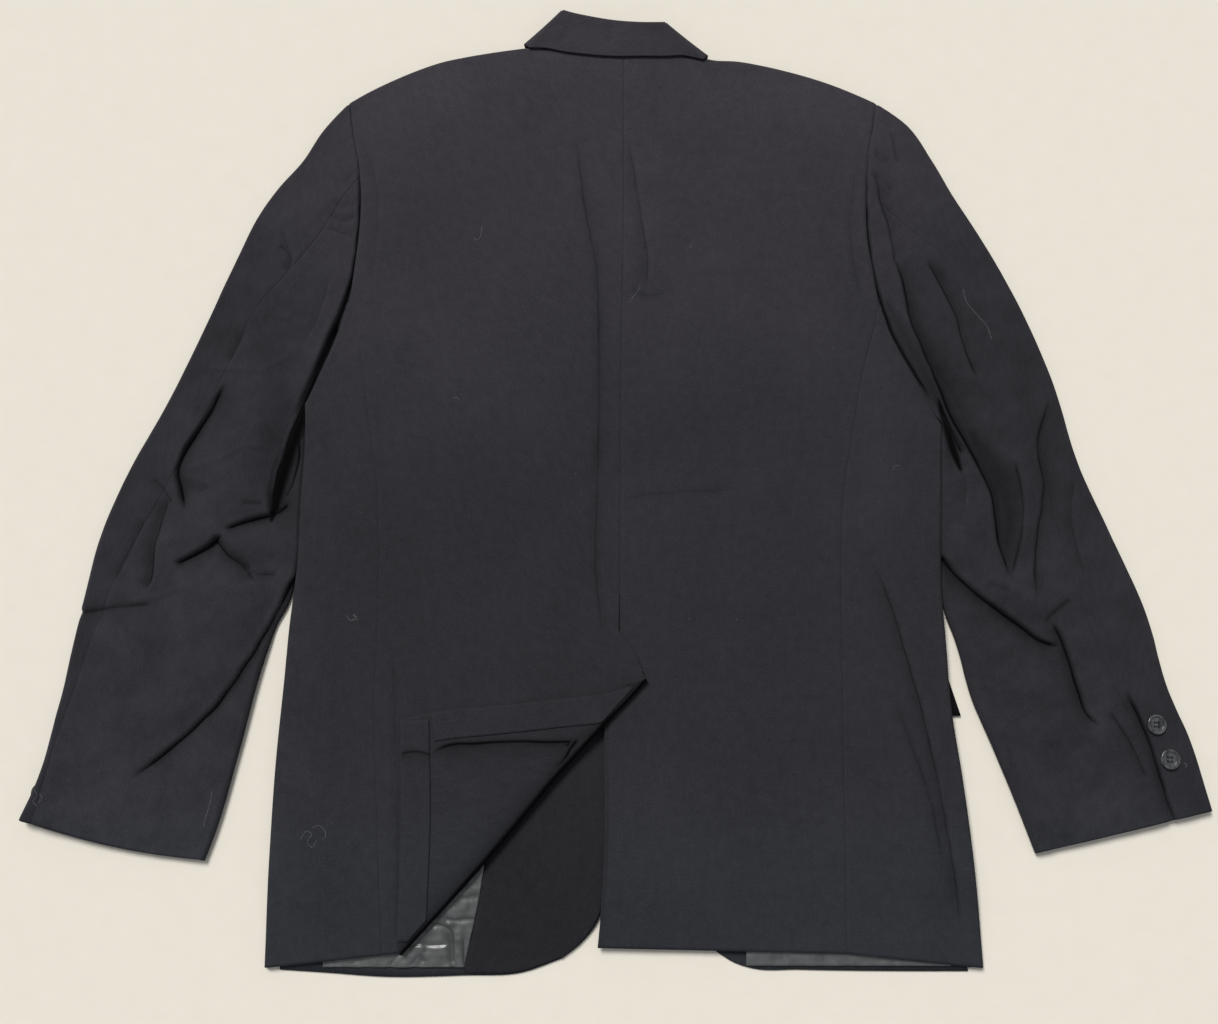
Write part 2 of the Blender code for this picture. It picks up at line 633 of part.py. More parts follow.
def front(side, wool):
    """A front, from the side panel's edge to the front edge and the lapel's roll line."""
    base, out = edge_base(side)
    under = (base - out * (UNDER_TAIL + UNDER_ROOM))[list(FRONT_ROWS)]
    outer = np.concatenate([FRONT_HEM[side].points[:1], under[1:], front_armhole(side)[1:]])
    edge = FRONT_EDGE[side]
    start, top = (edge.points[k, 1] / CM + MIDDLE[1] for k in (0, -1))
    heights = levels(start, *[(up, 1) for up in FRONT_EDGE_ROWS], (top, len(outer) - len(FRONT_ROWS)))
    inner = edge.by_height(heights)
    shoulder, way = shoulder_base(side)
    upper = shoulder - way * (UNDER_TAIL + SEAM)
    outer[-1] = upper[0]
    inner[-1] = upper[-1]
    hem = FRONT_HEM[side].by_share(np.linspace(0, 1, SHOULDER_STEPS + 1))
    plan = open_seam(patch(hem, outer, upper, inner), left=SEAM / 2)
    sheet("front_" + side, lifted(plan, front_height(plan)), CLOTH, wool)


def sleeve_rows(line, height):
    """Points down a line, from the armhole to its point beside the underarm, and on to the cuff."""
    at = line.share_at(height)
    head = np.linspace(1, at, SLEEVE_HEAD_STEPS + 1)
    return line.by_share(np.concatenate([head, np.linspace(at, 0, SLEEVE_STEPS + 1)[1:]]))


def sleeve_outer(side):
    """The sleeve's outer edge inside its half turn, and the way out from it."""
    run = sleeve_rows(SLEEVE_OUTER[side], BESIDE_UNDERARM[side].outer)
    out = outward(run, -OUT[side])
    out[0] = tip_out(side)
    base = run - out * (SLEEVE_TURN + CLOTH / 2)
    base[0] = shoulder_base(side)[0][0]
    return base, out


def sleeve_inner(side):
    """The sleeve's inner edge below the underarm, inside its half turn, and the way out from it."""
    run = SLEEVE_INNER[side].by_share(np.linspace(1, 0, SLEEVE_STEPS + 1))
    out = outward(run, OUT[side])
    return run - out * (SLEEVE_TURN + CLOTH / 2), out


def sagged(side, points):
    """Points of the cuff, lowered towards its middle."""
    outer, inner = SLEEVE_OUTER[side].points, SLEEVE_INNER[side].points
    share = (points[:, 0] - outer[0, 0]) / (inner[0, 0] - outer[0, 0])
    share = np.clip(share, 0, 1)
    return points - np.stack([0 * share, CUFF_SAG[side] * 4 * share * (1 - share)], axis=1)


def cuff(side, start, end, count):
    return sagged(side, between(start, end, np.linspace(0, 1, count)[:, None]))


def hindarm_seam(side):
    seam = sleeve_rows(HINDARM[side], BESIDE_UNDERARM[side].hindarm)
    seam[0] = armhole_rows(side)[ARMHOLE_LOW_STEPS + ARMHOLE_MID_STEPS]
    return seam


def sleeve_patch(side, start, left, right):
    """A sleeve grid whose far end is the cuff."""
    end = cuff(side, left[-1], right[-1], len(start))
    left, right = left.copy(), right.copy()
    left[-1], right[-1] = end[0], end[-1]
    return patch(start, left, end, right)


def open_armhole(plan):
    """Leaves room at the armhole part of a sleeve grid's far border."""
    plan = plan.copy()
    for j in range(SLEEVE_HEAD_STEPS):
        plan[-1, j] = towards(plan[-1, j], plan[-2, j], SEAM / 2)
    return plan


def topsleeve(side, wool):
    """The outer sleeve piece: from the hindarm seam round the outer edge and across underneath."""
    outer, out = sleeve_outer(side)
    seam = hindarm_seam(side)
    armhole = armhole_rows(side)[ARMHOLE_LOW_STEPS + ARMHOLE_MID_STEPS :]
    plan = open_seam(sleeve_patch(side, armhole, seam, outer), start=SEAM / 2, left=SEAM / 2)
    plan[-1, 0] = towards(plan[-1, 0], plan[-1, 1], TIP_ROOM)
    upper = lifted(plan, sleeve_height(plan, side))
    top = upper[-1, :, 2]
    base = plan[-1]
    turn = half_turn(base, out, top, (top - sleeve_floor(base, side)) / 2)
    inner, inner_out = sleeve_inner(side)
    forearm = inner - inner_out * (UNDER_TAIL + SEAM)
    far = np.concatenate([front_armhole(side)[SLEEVE_HEAD_STEPS:0:-1], forearm])
    across = np.linspace(0, 1, UNDERSLEEVE_ACROSS + 1)[:, None]
    under = sleeve_patch(side, between(base[0], far[0], across), base, far)
    under[0] = base
    under = open_armhole(open_seam(under, start=SEAM / 2))[1:]
    lower = lifted(under, sleeve_floor(under, side))
    sheet("topsleeve_" + side, np.concatenate([upper, turn, lower]), CLOTH, wool)


def undersleeve(side, wool):
    """The inner sleeve piece: from the hindarm seam across the top and round the inner edge."""
    inner, out = sleeve_inner(side)
    seam = hindarm_seam(side)
    far = np.concatenate([armhole_rows(side)[SLEEVE_HEAD_STEPS:0:-1], inner])
    across = np.linspace(0, 1, UNDERSLEEVE_ACROSS + 1)[:, None]
    plan = sleeve_patch(side, between(seam[0], far[0], across), seam, far)
    plan = open_armhole(open_seam(plan, start=SEAM / 2, left=SEAM / 2))
    upper = lifted(plan, sleeve_height(plan, side))
    base = plan[-1, SLEEVE_HEAD_STEPS:]
    top = upper[-1, SLEEVE_HEAD_STEPS:, 2]
    turn = half_turn(base, out, top, (top - sleeve_floor(base, side)) / 2, UNDER_TAIL)
    whole = in_full(turn, upper.shape[1], SLEEVE_HEAD_STEPS)
    sheet("undersleeve_" + side, np.concatenate([upper, whole]), CLOTH, wool)


COLLAR_ROWS = 5
COLLAR_ACROSS = 11
COLLAR_RISE = (14 * MM, 18 * MM)
COLLAR_REACH = (6.5 * MM, 2.2 * MM)
COLLAR_TURN_STEPS = 5
COLLAR_FRONT_STEPS = 4
COLLAR_FOLD_TURN = 1.6 * MM
COLLAR_TAIL = 3 * MM
STAND_ROOM = 1.4 * MM


def collar_grid():
    """The collar's plan over the back: from the free edge to the fold, between its two slopes."""
    share = np.linspace(0, 1, COLLAR_ROWS)
    rise = between(*COLLAR_RISE, share)
    reach = between(*COLLAR_REACH, share)
    bases, outs = [], []
    for side, end in (("left", 0), ("right", -1)):
        slope = between(COLLAR_EDGE.points[end], COLLAR_FOLD.points[end], share[:, None])
        out = outward(slope, OUT[side])
        bases.append(slope - out * (reach + COLLAR_CLOTH / 2)[:, None])
        outs.append(out)
    across = np.linspace(0, 1, COLLAR_ACROSS)
    edge = COLLAR_EDGE.by_share(between(0.04, 0.96, across))
    fold = COLLAR_FOLD.by_share(between(0.03, 0.97, across)) - (0, COLLAR_FOLD_TURN + COLLAR_CLOTH / 2)
    edge[0], edge[-1] = bases[0][0], bases[1][0]
    fold[0], fold[-1] = bases[0][-1], bases[1][-1]
    plan = patch(edge, bases[0], fold, bases[1])
    return plan, np.broadcast_to(rise, plan.shape[:2]), reach, outs


def collar(wool):
    """The collar's fall, folded over the back and carried round the neck to its front tips."""
    plan, rise, reach, outs = collar_grid()
    middle = lifted(plan, rise)
    fold_out = outward(plan[:, -1], -1)
    under = half_turn(plan[:, -1], fold_out, rise[:, -1], COLLAR_FOLD_TURN, COLLAR_TAIL)
    under[-1, [0, -1]] = np.nan
    middle = np.concatenate([middle, np.swapaxes(under, 0, 1)], axis=1)
    parts = []
    for side, end, out in (("left", 0, outs[0]), ("right", -1, outs[1])):
        base = plan[end]
        radius = (rise[end] - COLLAR_CLOTH / 2) / 2
        turn = half_turn(base, out, rise[end], radius, steps=COLLAR_TURN_STEPS, reach=reach)
        tip = (COLLAR_TIP[side] - MIDDLE) * CM
        share = np.linspace(0, 1, COLLAR_FRONT_STEPS + 1)[1:, None, None]
        flat = between(base[None], tip[None], share)
        level = np.full(flat.shape[:2], COLLAR_CLOTH / 2)
        parts.append(in_full(np.concatenate([turn, lifted(flat, level)]), middle.shape[1]))
    sheet("collar", np.concatenate([parts[0][::-1], middle, parts[1]]), COLLAR_CLOTH, wool)


def collar_stand(wool):
    """The stand, from the neck seam up to the collar's fold, under the fall."""
    plan, rise, _, _ = collar_grid()
    fold = plan[1:-1, -1]
    top = fold - outward(fold, -1) * (COLLAR_TAIL + STAND_ROOM)
    half = np.linspace(0, 1, len(fold) // 2 + 1)
    neck = np.concatenate([NECK["left"].by_share(half), NECK["right"].by_share(1 - half)[1:]])
    neck = neck + (0, 2 * SEAM)
    share = np.linspace(0, 1, 4)[None, :, None]
    stand = between(neck[:, None], top[:, None], share)
    height = between(back_height(neck)[:, None], (rise[1:-1, -1] - 2 * COLLAR_FOLD_TURN)[:, None], share[..., 0])
    sheet("collar_stand", lifted(stand, height), CLOTH, wool)


def lapel(side, wool):
    """A lapel, rolled back under the front, between its roll line, its edge and the gorge."""
    share = np.linspace(0, 1, 11)
    roll = ROLL_LINE[side].by_share(share)
    edge = LAPEL_EDGE[side].by_share(share)
    across = np.linspace(0, 1, 7)
    gorge = np.stack([np.interp(across, (0, 0.64, 1), GORGE[side].points[:, axis]) for axis in (0, 1)], axis=1)
    start = between(roll[0], edge[0], across[:, None])
    plan = patch(start, roll, gorge, edge)
    sheet("lapel_" + side, lifted(plan, np.full(plan.shape[:2], DOUBLE_CLOTH / 2)), DOUBLE_CLOTH, wool)


def pocket_flap(side, wool):
    corners = [place(*corner) for corner in FLAP_CORNERS[side]]
    share = np.linspace(0, 1, 7)[:, None]
    plan = patch(
        between(corners[0], corners[1], share),
        between(corners[0], corners[3], np.linspace(0, 1, 4)[:, None]),
        between(corners[3], corners[2], share),
        between(corners[1], corners[2], np.linspace(0, 1, 4)[:, None]),
    )
    level = np.full(plan.shape[:2], DOUBLE_CLOTH / 2)
    sheet("pocket_flap_" + side, lifted(plan, level), DOUBLE_CLOTH, wool)


FACING_ROWS = (-37.4, -35.5, -33.5, -31.0, -28.0, -25.0, -21.5, -18.0)
LINING_ROWS = (-39.1, -37.6, -36.0, -34.0, -31.5, -29.0)
LINING_OUTER = -24.6
RIGHT_LINING = ((9.5, 24.6), (-39.0, -37.8, -36.2, -34.5))


def facing_left(wool):
    """The lower end of the left front's facing, which the open vent shows."""
    edge = FRONT_EDGE["left"]
    heights = levels(edge.points[0, 1] / CM + MIDDLE[1], *[(up, 1) for up in FACING_ROWS])
    right = edge.by_height(heights) - (1.2 * MM, 0)
    left = FACING_SEAM.by_height(levels(-39.4, *[(up, 1) for up in FACING_ROWS])) + (SEAM, 0)
    share = np.linspace(0, 1, 7)
    hem = FRONT_HEM["left"].by_share(between(0.66, 1.0, share)) + (0, 1.2 * MM)
    hem[0], hem[-1] = left[0], right[0]
    plan = patch(hem, left, between(left[-1], right[-1], share[:, None]), right)
    sheet("facing_left", lifted(plan, lining_height(plan)), THIN_CLOTH, wool)


def lining_left(satin):
    seam = FACING_SEAM.by_height(LINING_ROWS) - (SEAM / 2, 0)
    outer = np.stack([np.full(len(seam), place(LINING_OUTER, 0)[0]), seam[:, 1]], axis=1)
    plan = between(outer[None], seam[None], np.linspace(0, 1, 7)[:, None, None])
    sheet("lining_left", lifted(plan, lining_height(plan)), THIN_CLOTH, satin)


def lining_right(satin):
    (start, end), heights = RIGHT_LINING
    plan = np.array([[place(x, y) for y in heights] for x in np.linspace(start, end, 7)])
    sheet("lining_right", lifted(plan, lining_height(plan)), THIN_CLOTH, satin)


FACING_WIDTH = 2.2 * CM


def corner_facings(wool):
    """The vent's facing and the hem's turn-up, on the wrong side of the turned-up corner."""
    half = np.linspace(0, 1, 8)
    hem = CORNER_HEM.by_share(half)
    along = outward(hem, 1)
    inside = hem + along * FACING_WIDTH
    plan = between((hem + along * MM)[None], inside[None], np.linspace(0, 1, 4)[:, None, None])
    plan = open_corner(plan)
    sheet("hem_facing", lifted(plan, corner_facing_height(plan)), THIN_CLOTH, wool)
    start = nearest_share(CORNER_VENT, place(-14.2, -20.6))
    edge = CORNER_VENT.by_share(between(start, 0.93, half))
    down = outward(edge, 1)
    width = between(FACING_WIDTH, 0.55 * FACING_WIDTH, ease((half - 0.75) / 0.25))
    plan = between((edge + down * MM)[None], (edge + down * width[:, None])[None], np.linspace(0, 1, 4)[:, None, None])
    sheet("vent_facing", lifted(plan, corner_facing_height(plan)), THIN_CLOTH, wool)


def nearest_share(line, point):
    return float(nearest(point, line.by_share(np.linspace(0, 1, 40)))[1])


def open_corner(plan):
    """Trims the hem strip's lower end back to the fold, and squares it to the vent's edge at the top."""
    plan = plan.copy()
    fold = FOLD_LINE.points[0] - (CORNER_TURN + CLOTH, 0)
    plan[:, 0, 1] = np.maximum(plan[:, 0, 1], fold[1] + (plan[:, 0, 0] - fold[0]) * 1.1 + 2 * MM)
    plan[:, -1, 1] -= MM
    return plan


ButtonRow = namedtuple("ButtonRow", "radius height")
BUTTON_RIM = 1.6 * MM


def button_mesh(diameter, finish):
    """A turned button with a raised rim and four holes, face up, its back at height 0."""
    radius = diameter / 2
    rows = (
        ButtonRow(radius - 0.8 * MM, 0),
        ButtonRow(radius, 0.8 * MM),
        ButtonRow(radius, 1.6 * MM),
        ButtonRow(radius - 0.5 * MM, BUTTON_THICKNESS),
        ButtonRow(radius - BUTTON_RIM, BUTTON_THICKNESS),
        ButtonRow(radius - 1.5 * BUTTON_RIM, 1.5 * MM),
    )
    segments = 16
    points = []
    for row in rows:
        for k in range(segments):
            angle = math.tau * k / segments
            points.append((row.radius * math.cos(angle), row.radius * math.sin(angle), row.height))
    faces = [list(range(segments))[::-1], list(range((len(rows) - 1) * segments, len(rows) * segments))]
    for r in range(len(rows) - 1):
        for k in range(segments):
            near, far = r * segments + k, r * segments + (k + 1) % segments
            faces.append([near, far, far + segments, near + segments])
    mesh = bpy.data.meshes.new("button")
    mesh.from_pydata(points, [], faces)
    blank = add("button_blank", mesh, finish)
    cutter = bpy.data.meshes.new("holes")
    spread, hole, sides = 0.2 * radius, 0.1 * radius, 6
    corners, walls = [], []
    for n, (x, y) in enumerate(((1, 1), (-1, 1), (-1, -1), (1, -1))):
        first = n * 2 * sides
        for z in (-MM, 2 * BUTTON_THICKNESS):
            for k in range(sides):
                angle = math.tau * k / sides
                corners.append((x * spread + hole * math.cos(angle), y * spread + hole * math.sin(angle), z))
        walls.append([first + k for k in range(sides)][::-1])
        walls.append([first + sides + k for k in range(sides)])
        for k in range(sides):
            after = (k + 1) % sides
            walls.append([first + k, first + after, first + sides + after, first + sides + k])
    cutter.from_pydata(corners, [], walls)
    holes = add("button_holes", cutter, finish)
    drill = blank.modifiers.new("Holes", "BOOLEAN")
    drill.operation = "DIFFERENCE"
    drill.object = holes
    bpy.context.view_layer.update()
    drilled = bpy.data.meshes.new_from_object(blank.evaluated_get(bpy.context.evaluated_depsgraph_get()))
    for helper in (blank, holes):
        bpy.data.objects.remove(helper)
    return drilled


def buttons(horn):
    """Two buttons on each cuff, and two on the right front, which lie face down."""
    small = button_mesh(CUFF_BUTTON, horn)
    large = button_mesh(FRONT_BUTTON, horn)
    for n, (x, y) in enumerate(((41.1, -21.5), (41.9, -24.1)), 1):
        spot = place(x, y)
        around = spot + np.array([(0, 0), (6, 0), (-6, 0), (0, 6), (0, -6)]) * MM
        z = sleeve_height(around, "right")
        normal = Vector((float(z[2] - z[1]), float(z[4] - z[3]), 12 * MM)).normalized()
        centre = Vector((*spot, float(z[0]))) + normal * (CLOTH / 2 + ROOM)
        put_button(f"cuff_button_right_{n}", small, centre, normal)
    for n, (x, y) in enumerate(((-42.9, -23.2), (-43.9, -26.6)), 1):
        put_button(f"cuff_button_left_{n}", small, Vector((*place(x, y), BUTTON_THICKNESS)), Vector((0, 0, -1)))
    for n, y in enumerate((-11.2, -21.6), 1):
        put_button(f"front_button_{n}", large, Vector((*place(3.9, y), BUTTON_THICKNESS)), Vector((0, 0, -1)))


def put_button(name, mesh, centre, normal):
    made = bpy.data.objects.new(name, mesh)
    made.location = centre
    made.rotation_euler = normal.to_track_quat("Z", "Y").to_euler()
    bpy.context.scene.collection.objects.link(made)


def main():
    for old in list(bpy.data.objects):
        bpy.data.objects.remove(old)
    wool = material("Black wool", (0.016, 0.015, 0.018), 0.92)
    satin = material("Black lining", (0.012, 0.012, 0.014), 0.4)
    horn = material("Black button", (0.01, 0.01, 0.012), 0.25)
    for side in SIDES:
        back(side, wool)
        side_panel(side, wool)
        front(side, wool)
        topsleeve(side, wool)
        undersleeve(side, wool)
        lapel(side, wool)
        pocket_flap(side, wool)
    collar(wool)
    collar_stand(wool)
    facing_left(wool)
    lining_left(satin)
    lining_right(satin)
    corner_facings(wool)
    buttons(horn)


main()
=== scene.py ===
# %% [markdown]
# # A black blazer, laid flat with its back up
# A tailored jacket is some two dozen pieces of cloth, cut flat and sewn edge to edge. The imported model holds
# one plain solid for each of them. This lesson gives every piece its finer form, its creases and its cloth.
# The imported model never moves: each new piece rides on its body and stands for its solids.

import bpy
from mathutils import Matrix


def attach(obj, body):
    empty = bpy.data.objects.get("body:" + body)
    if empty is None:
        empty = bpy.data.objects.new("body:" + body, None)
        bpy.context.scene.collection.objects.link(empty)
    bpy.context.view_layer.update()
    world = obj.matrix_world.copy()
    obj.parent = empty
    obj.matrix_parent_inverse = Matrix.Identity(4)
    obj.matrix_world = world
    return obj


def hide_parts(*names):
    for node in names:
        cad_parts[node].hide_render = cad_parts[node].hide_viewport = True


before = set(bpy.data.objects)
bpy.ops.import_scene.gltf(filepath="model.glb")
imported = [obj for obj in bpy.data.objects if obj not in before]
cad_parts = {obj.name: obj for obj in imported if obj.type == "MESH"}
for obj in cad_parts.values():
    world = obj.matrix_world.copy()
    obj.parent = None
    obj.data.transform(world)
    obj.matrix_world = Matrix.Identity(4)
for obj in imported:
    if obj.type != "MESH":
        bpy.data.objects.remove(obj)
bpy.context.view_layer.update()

import math
from collections import namedtuple

import bpy
import numpy as np
from mathutils import Matrix, Vector

CM = 0.01
MM = 0.001
SIDES = ("left", "right")
OUT = {"left": -1, "right": 1}

# %% [markdown]
# ## Camera
# The camera hangs over the jacket, a little towards the hem, and tilts up the back by about eleven degrees.
# Its place follows from the jacket's real length and from how much smaller the collar looks than the hem.
# A lens is set from the picture's width and the distance to it, both counted in pixels.

# %% Hang the camera
CAMERA_PLACE = (-0.0060, -0.2076, 0.864)
CAMERA_TILT = 10.8
PICTURE_WIDTH = 1218
FOCAL_PIXELS = 1100
SENSOR_WIDTH = 36


def put(name, data, location=(0, 0, 0)):
    """A new object in the scene."""
    made = bpy.data.objects.new(name, data)
    made.location = location
    bpy.context.scene.collection.objects.link(made)
    return made


camera = put("camera", bpy.data.cameras.new("camera"), CAMERA_PLACE)
camera.data.sensor_width = SENSOR_WIDTH
camera.data.lens = SENSOR_WIDTH * FOCAL_PIXELS / PICTURE_WIDTH
camera.rotation_euler = (math.radians(CAMERA_TILT), 0, 0)
bpy.context.scene.camera = camera
print("Camera lens:", round(camera.data.lens, 2), "mm")

# %% [markdown]
# ## Shader sums as Python
# A material is a web of small nodes. Written out one by one, they hide what the material does. Here a socket
# is wrapped so that plain sums work on it, and one method makes every other node. Then each finish reads as
# a recipe: settings first, and then what feeds its sockets.

# %% Wrap the shader nodes
# Three marks that each piece carries only for the painted shade of its folds.
FOLD_MARKS = ("fold_off", "fold_deep", "fold_soft")


class Value:
    """A shader socket that takes part in sums."""

    def __init__(self, finish, socket):
        self.finish = finish
        self.socket = socket

    def __add__(self, other):
        return self.finish.sum_of("ADD", self, other)

    def __sub__(self, other):
        return self.finish.sum_of("SUBTRACT", self, other)

    def __rsub__(self, other):
        return self.finish.sum_of("SUBTRACT", other, self)

    def __mul__(self, other):
        return self.finish.sum_of("MULTIPLY", self, other)

    def sine(self):
        return self.finish.sum_of("SINE", self)

    def clamped(self):
        return self.finish.sum_of("MAXIMUM", self.finish.sum_of("MINIMUM", self, 1), 0)

    def worked(self, operation, *others):
        return self.finish.sum_of(operation, self, *others)

    __radd__ = __add__
    __rmul__ = __mul__


class Finish:
    """A material with its Principled shader, whose uniform values are given by socket name."""

    def __init__(self, name, uniform):
        self.material = bpy.data.materials.new(name)
        self.material.use_nodes = True
        self.tree = self.material.node_tree
        self.shader = self.tree.nodes["Principled BSDF"]
        for socket, value in uniform.items():
            self.shader.inputs[socket].default_value = value

    def node(self, kind, settings=None, sockets=None, result=0):
        """A node of a kind: its settings are set first, then the values or links of its sockets."""
        made = self.tree.nodes.new(kind)
        for name, value in (settings or {}).items():
            setattr(made, name, value)
        for name, value in (sockets or {}).items():
            self.feed(made.inputs[name], value)
        return Value(self, made.outputs[result])

    def feed(self, socket, value):
        if isinstance(value, Value):
            self.tree.links.new(value.socket, socket)
        else:
            socket.default_value = value

    def sum_of(self, operation, *values):
        return self.node("ShaderNodeMath", {"operation": operation}, dict(enumerate(values)))

    def mix(self, share, a, b, blend="MIX"):
        """A colour between two, or one worked on the other."""
        settings = {"data_type": "RGBA", "blend_type": blend}
        return self.node("ShaderNodeMix", settings, {0: share, 6: a, 7: b}, 2)

    def noise(self, where, scale, detail=2.0, rough=0.5):
        sockets = {"Vector": where, "Scale": scale, "Detail": detail, "Roughness": rough}
        return self.node("ShaderNodeTexNoise", None, sockets)

    def on_jacket(self):
        """Each point's place on the jacket, in metres."""
        return self.node("ShaderNodeTexCoord", result="Object")

    def on_cloth(self):
        """Each point's place on its own piece's cloth map, in metres."""
        return self.node("ShaderNodeUVMap", {"uv_map": "cloth"})

    def axis(self, where, name):
        return self.node("ShaderNodeSeparateXYZ", None, {0: where}, name)

    def stretched(self, where, *scale):
        """A place scaled along each axis: a small scale draws a pattern out."""
        return self.node("ShaderNodeMapping", None, {"Vector": where, "Scale": scale})

    def mark(self, name):
        return self.node("ShaderNodeAttribute", {"attribute_name": name}, result="Fac")

    def fold_shade(self):
        """Painted shade of the folds at each point: black in a fold's bite, and softly dark on its open side.
        """
        off, deep, soft = [self.mark(name) for name in FOLD_MARKS]
        bite = (off * off * -1.0).worked("EXPONENT") * deep.clamped()
        return bite.worked("MAXIMUM", soft).clamped()

    def shade(self, colour=None, roughness=None, height=None, depth=0.0):
        """Feeds the shader its colour, its roughness and its fine relief, whose depth is in metres."""
        if colour is not None:
            self.feed(self.shader.inputs["Base Color"], colour)
        if roughness is not None:
            self.feed(self.shader.inputs["Roughness"], roughness)
        if height is not None:
            sockets = {"Strength": 1.0, "Distance": depth, "Height": height}
            self.feed(self.shader.inputs["Normal"], self.node("ShaderNodeBump", None, sockets, "Normal"))
        return self.material


print("Shader sums are ready")

# %% [markdown]
# ## Wool
# Black suiting wool is a twill: its yarns step sideways by one in each row, so fine ribs run slantwise. Up
# close it is charcoal and not black, with paler fibres on its surface and a soft sheen at grazing angles.
# The colour is painted lighter and a little warmer towards the shoulders and the collar, as painted light, and
# at the hem it is a little paler and bluer than at the waist. The weave follows each piece's own grain, so it
# reads the piece's cloth map, in metres. Slow changes read the place on the jacket.

# %% Make the wool
YARN = 0.55 * MM
SLANT = (0.52, 0.85)
SHEEN_TINT = (0.72, 0.74, 0.84, 1)
BODY_HALF = 0.215
SLEEVE_ONSET = 14
Tones = namedtuple("Tones", "collar waist hem")


def wool_finish(name, tones, rib_depth, sheen, roughness):
    """Twill wool, with colours given at the collar, at the waist and at the hem; the lighter collar end is
    painted light.
    """
    sheens = {"Sheen Weight": sheen, "Sheen Roughness": 0.45, "Sheen Tint": SHEEN_TINT}
    finish = Finish(name, {**sheens, "Specular IOR Level": 0.05})
    place = finish.on_jacket()
    cloth = finish.on_cloth()
    along = finish.axis(place, "Y")
    across = finish.axis(place, "X")
    u = finish.axis(cloth, "X")
    v = finish.axis(cloth, "Y")
    slow = finish.noise(place, 7.0, 3.0)
    bands = finish.noise(finish.stretched(place, 34.0, 4.0, 4.0), 1.0, 2.0)
    fuzz = finish.noise(cloth, 700.0, 3.0, 0.75)
    mottle = finish.noise(cloth, 130.0, 3.0, 0.6)
    pills = ((finish.noise(cloth, 520.0, 1.0) - 0.69) * 7).clamped()
    slub = finish.noise(finish.stretched(cloth, 1.0, 0.12, 1.0), 420.0, 1.0)
    turn = math.tau / YARN
    rib = (u * (turn * SLANT[0]) + v * (turn * SLANT[1])).sine()
    yarn = (v * turn * 0.5).sine() * (u * turn * 0.5).sine()
    on_sleeve = ((across.worked("ABSOLUTE") - BODY_HALF) * SLEEVE_ONSET).clamped()
    left_cuff = ((across * -1 - BODY_HALF) * SLEEVE_ONSET).clamped() * (along * -6 + 0.6).clamped()
    # Painted light: the colour grows lighter and warmer up the back towards the collar, less so on the
    # sleeves.
    up = (along * 2.5 + 0.12 + (slow - 0.5) * 0.5 - on_sleeve * 0.4).clamped()
    tone_at_hem = (along * -7.0 - 1.2).clamped()
    tone = slow * 0.36 + bands * 0.08 + fuzz * 0.95 + slub * 0.14 + mottle * 0.42 + rib * 0.06 + 0.025
    # Painted light and shade: soft patches, strongest on the sleeves, paint the light and shade of crushed
    # cloth.
    painted_relief_shading = (finish.noise(place, 42.0, 2.0) - 0.5) * (on_sleeve * 0.42 + 0.12)
    # The wool gets painted shade in its folds here, and the left cuff is made a little lighter.
    tone = (tone + painted_relief_shading + pills * 0.5) * (1 - finish.fold_shade() * 0.98) * (left_cuff * 0.14 + 1)
    upper = finish.mix(up, tones.waist, tones.collar)
    colour = finish.mix(1.0, finish.mix(tone_at_hem, upper, tones.hem), tone, "MULTIPLY")
    relief = rib * 0.5 + yarn * 0.35 + fuzz * 0.8 + slub * 0.35
    return finish.shade(colour, roughness + (slow - 0.5) * 0.12, relief, rib_depth)


# Colours at the collar, the waist and the hem; the collar's is lighter and warmer as painted light.
WOOL_TONES = Tones((0.0418, 0.0384, 0.0459, 1), (0.0258, 0.0250, 0.0296, 1), (0.0272, 0.0283, 0.0338, 1))
FACING_TONES = Tones((0.0260, 0.0255, 0.0300, 1), (0.0220, 0.0216, 0.0255, 1), (0.0186, 0.0184, 0.0218, 1))
# The flaps' wool is painted almost black, as painted shade for the end of the right flap that shows under the
# body's edge.
FLAP_SHADE_TONES = Tones((0.0060, 0.0060, 0.0070, 1), (0.0050, 0.0050, 0.0060, 1), (0.0060, 0.0060, 0.0070, 1))
WOOL = wool_finish("Black wool", WOOL_TONES, 0.05 * MM, 0.03, 0.88)
FACING = wool_finish("Black wool facing", FACING_TONES, 0.04 * MM, 0.03, 0.84)
SHADED_FLAP_WOOL = wool_finish("Black wool of the flaps in painted shade", FLAP_SHADE_TONES, 0.04 * MM, 0.02, 0.9)
print("Made", WOOL.name, FACING.name, SHADED_FLAP_WOOL.name)

# %% [markdown]
# ## Lining
# The lining is a black satin. Long floats of shiny yarn lie side by side, so it mirrors the room softly and
# looks far paler than the wool wherever a wrinkle turns it to the light. Its gloss varies along the yarns.
# Part of that sheen is also painted: the colour is set paler than black, cloudy patches are painted lighter
# and darker, and its folds get painted shade.

# %% Make the satin
def satin_finish():
    finish = Finish("Black satin", {"Specular IOR Level": 0.75, "Sheen Weight": 0.05})
    cloth = finish.on_cloth()
    floats = finish.noise(finish.stretched(cloth, 1.0, 0.05, 1.0), 1500.0, 1.0)
    cloud = finish.noise(cloth, 110.0, 2.0)
    # Painted sheen and shade: the colour is set paler than black satin, cloudy patches paint it lighter and
    # darker, and its folds get painted shade.
    tone = (0.25 + floats * 0.3 + cloud * 1.3) * (1 - finish.fold_shade() * 0.7)
    colour = finish.mix(1.0, (0.066, 0.070, 0.071, 1), tone, "MULTIPLY")
    return finish.shade(colour, 0.26 + floats * 0.08 + cloud * 0.12, floats * 0.3 + cloud * 4.0, 0.05 * MM)


SATIN = satin_finish()
print("Made", SATIN.name)

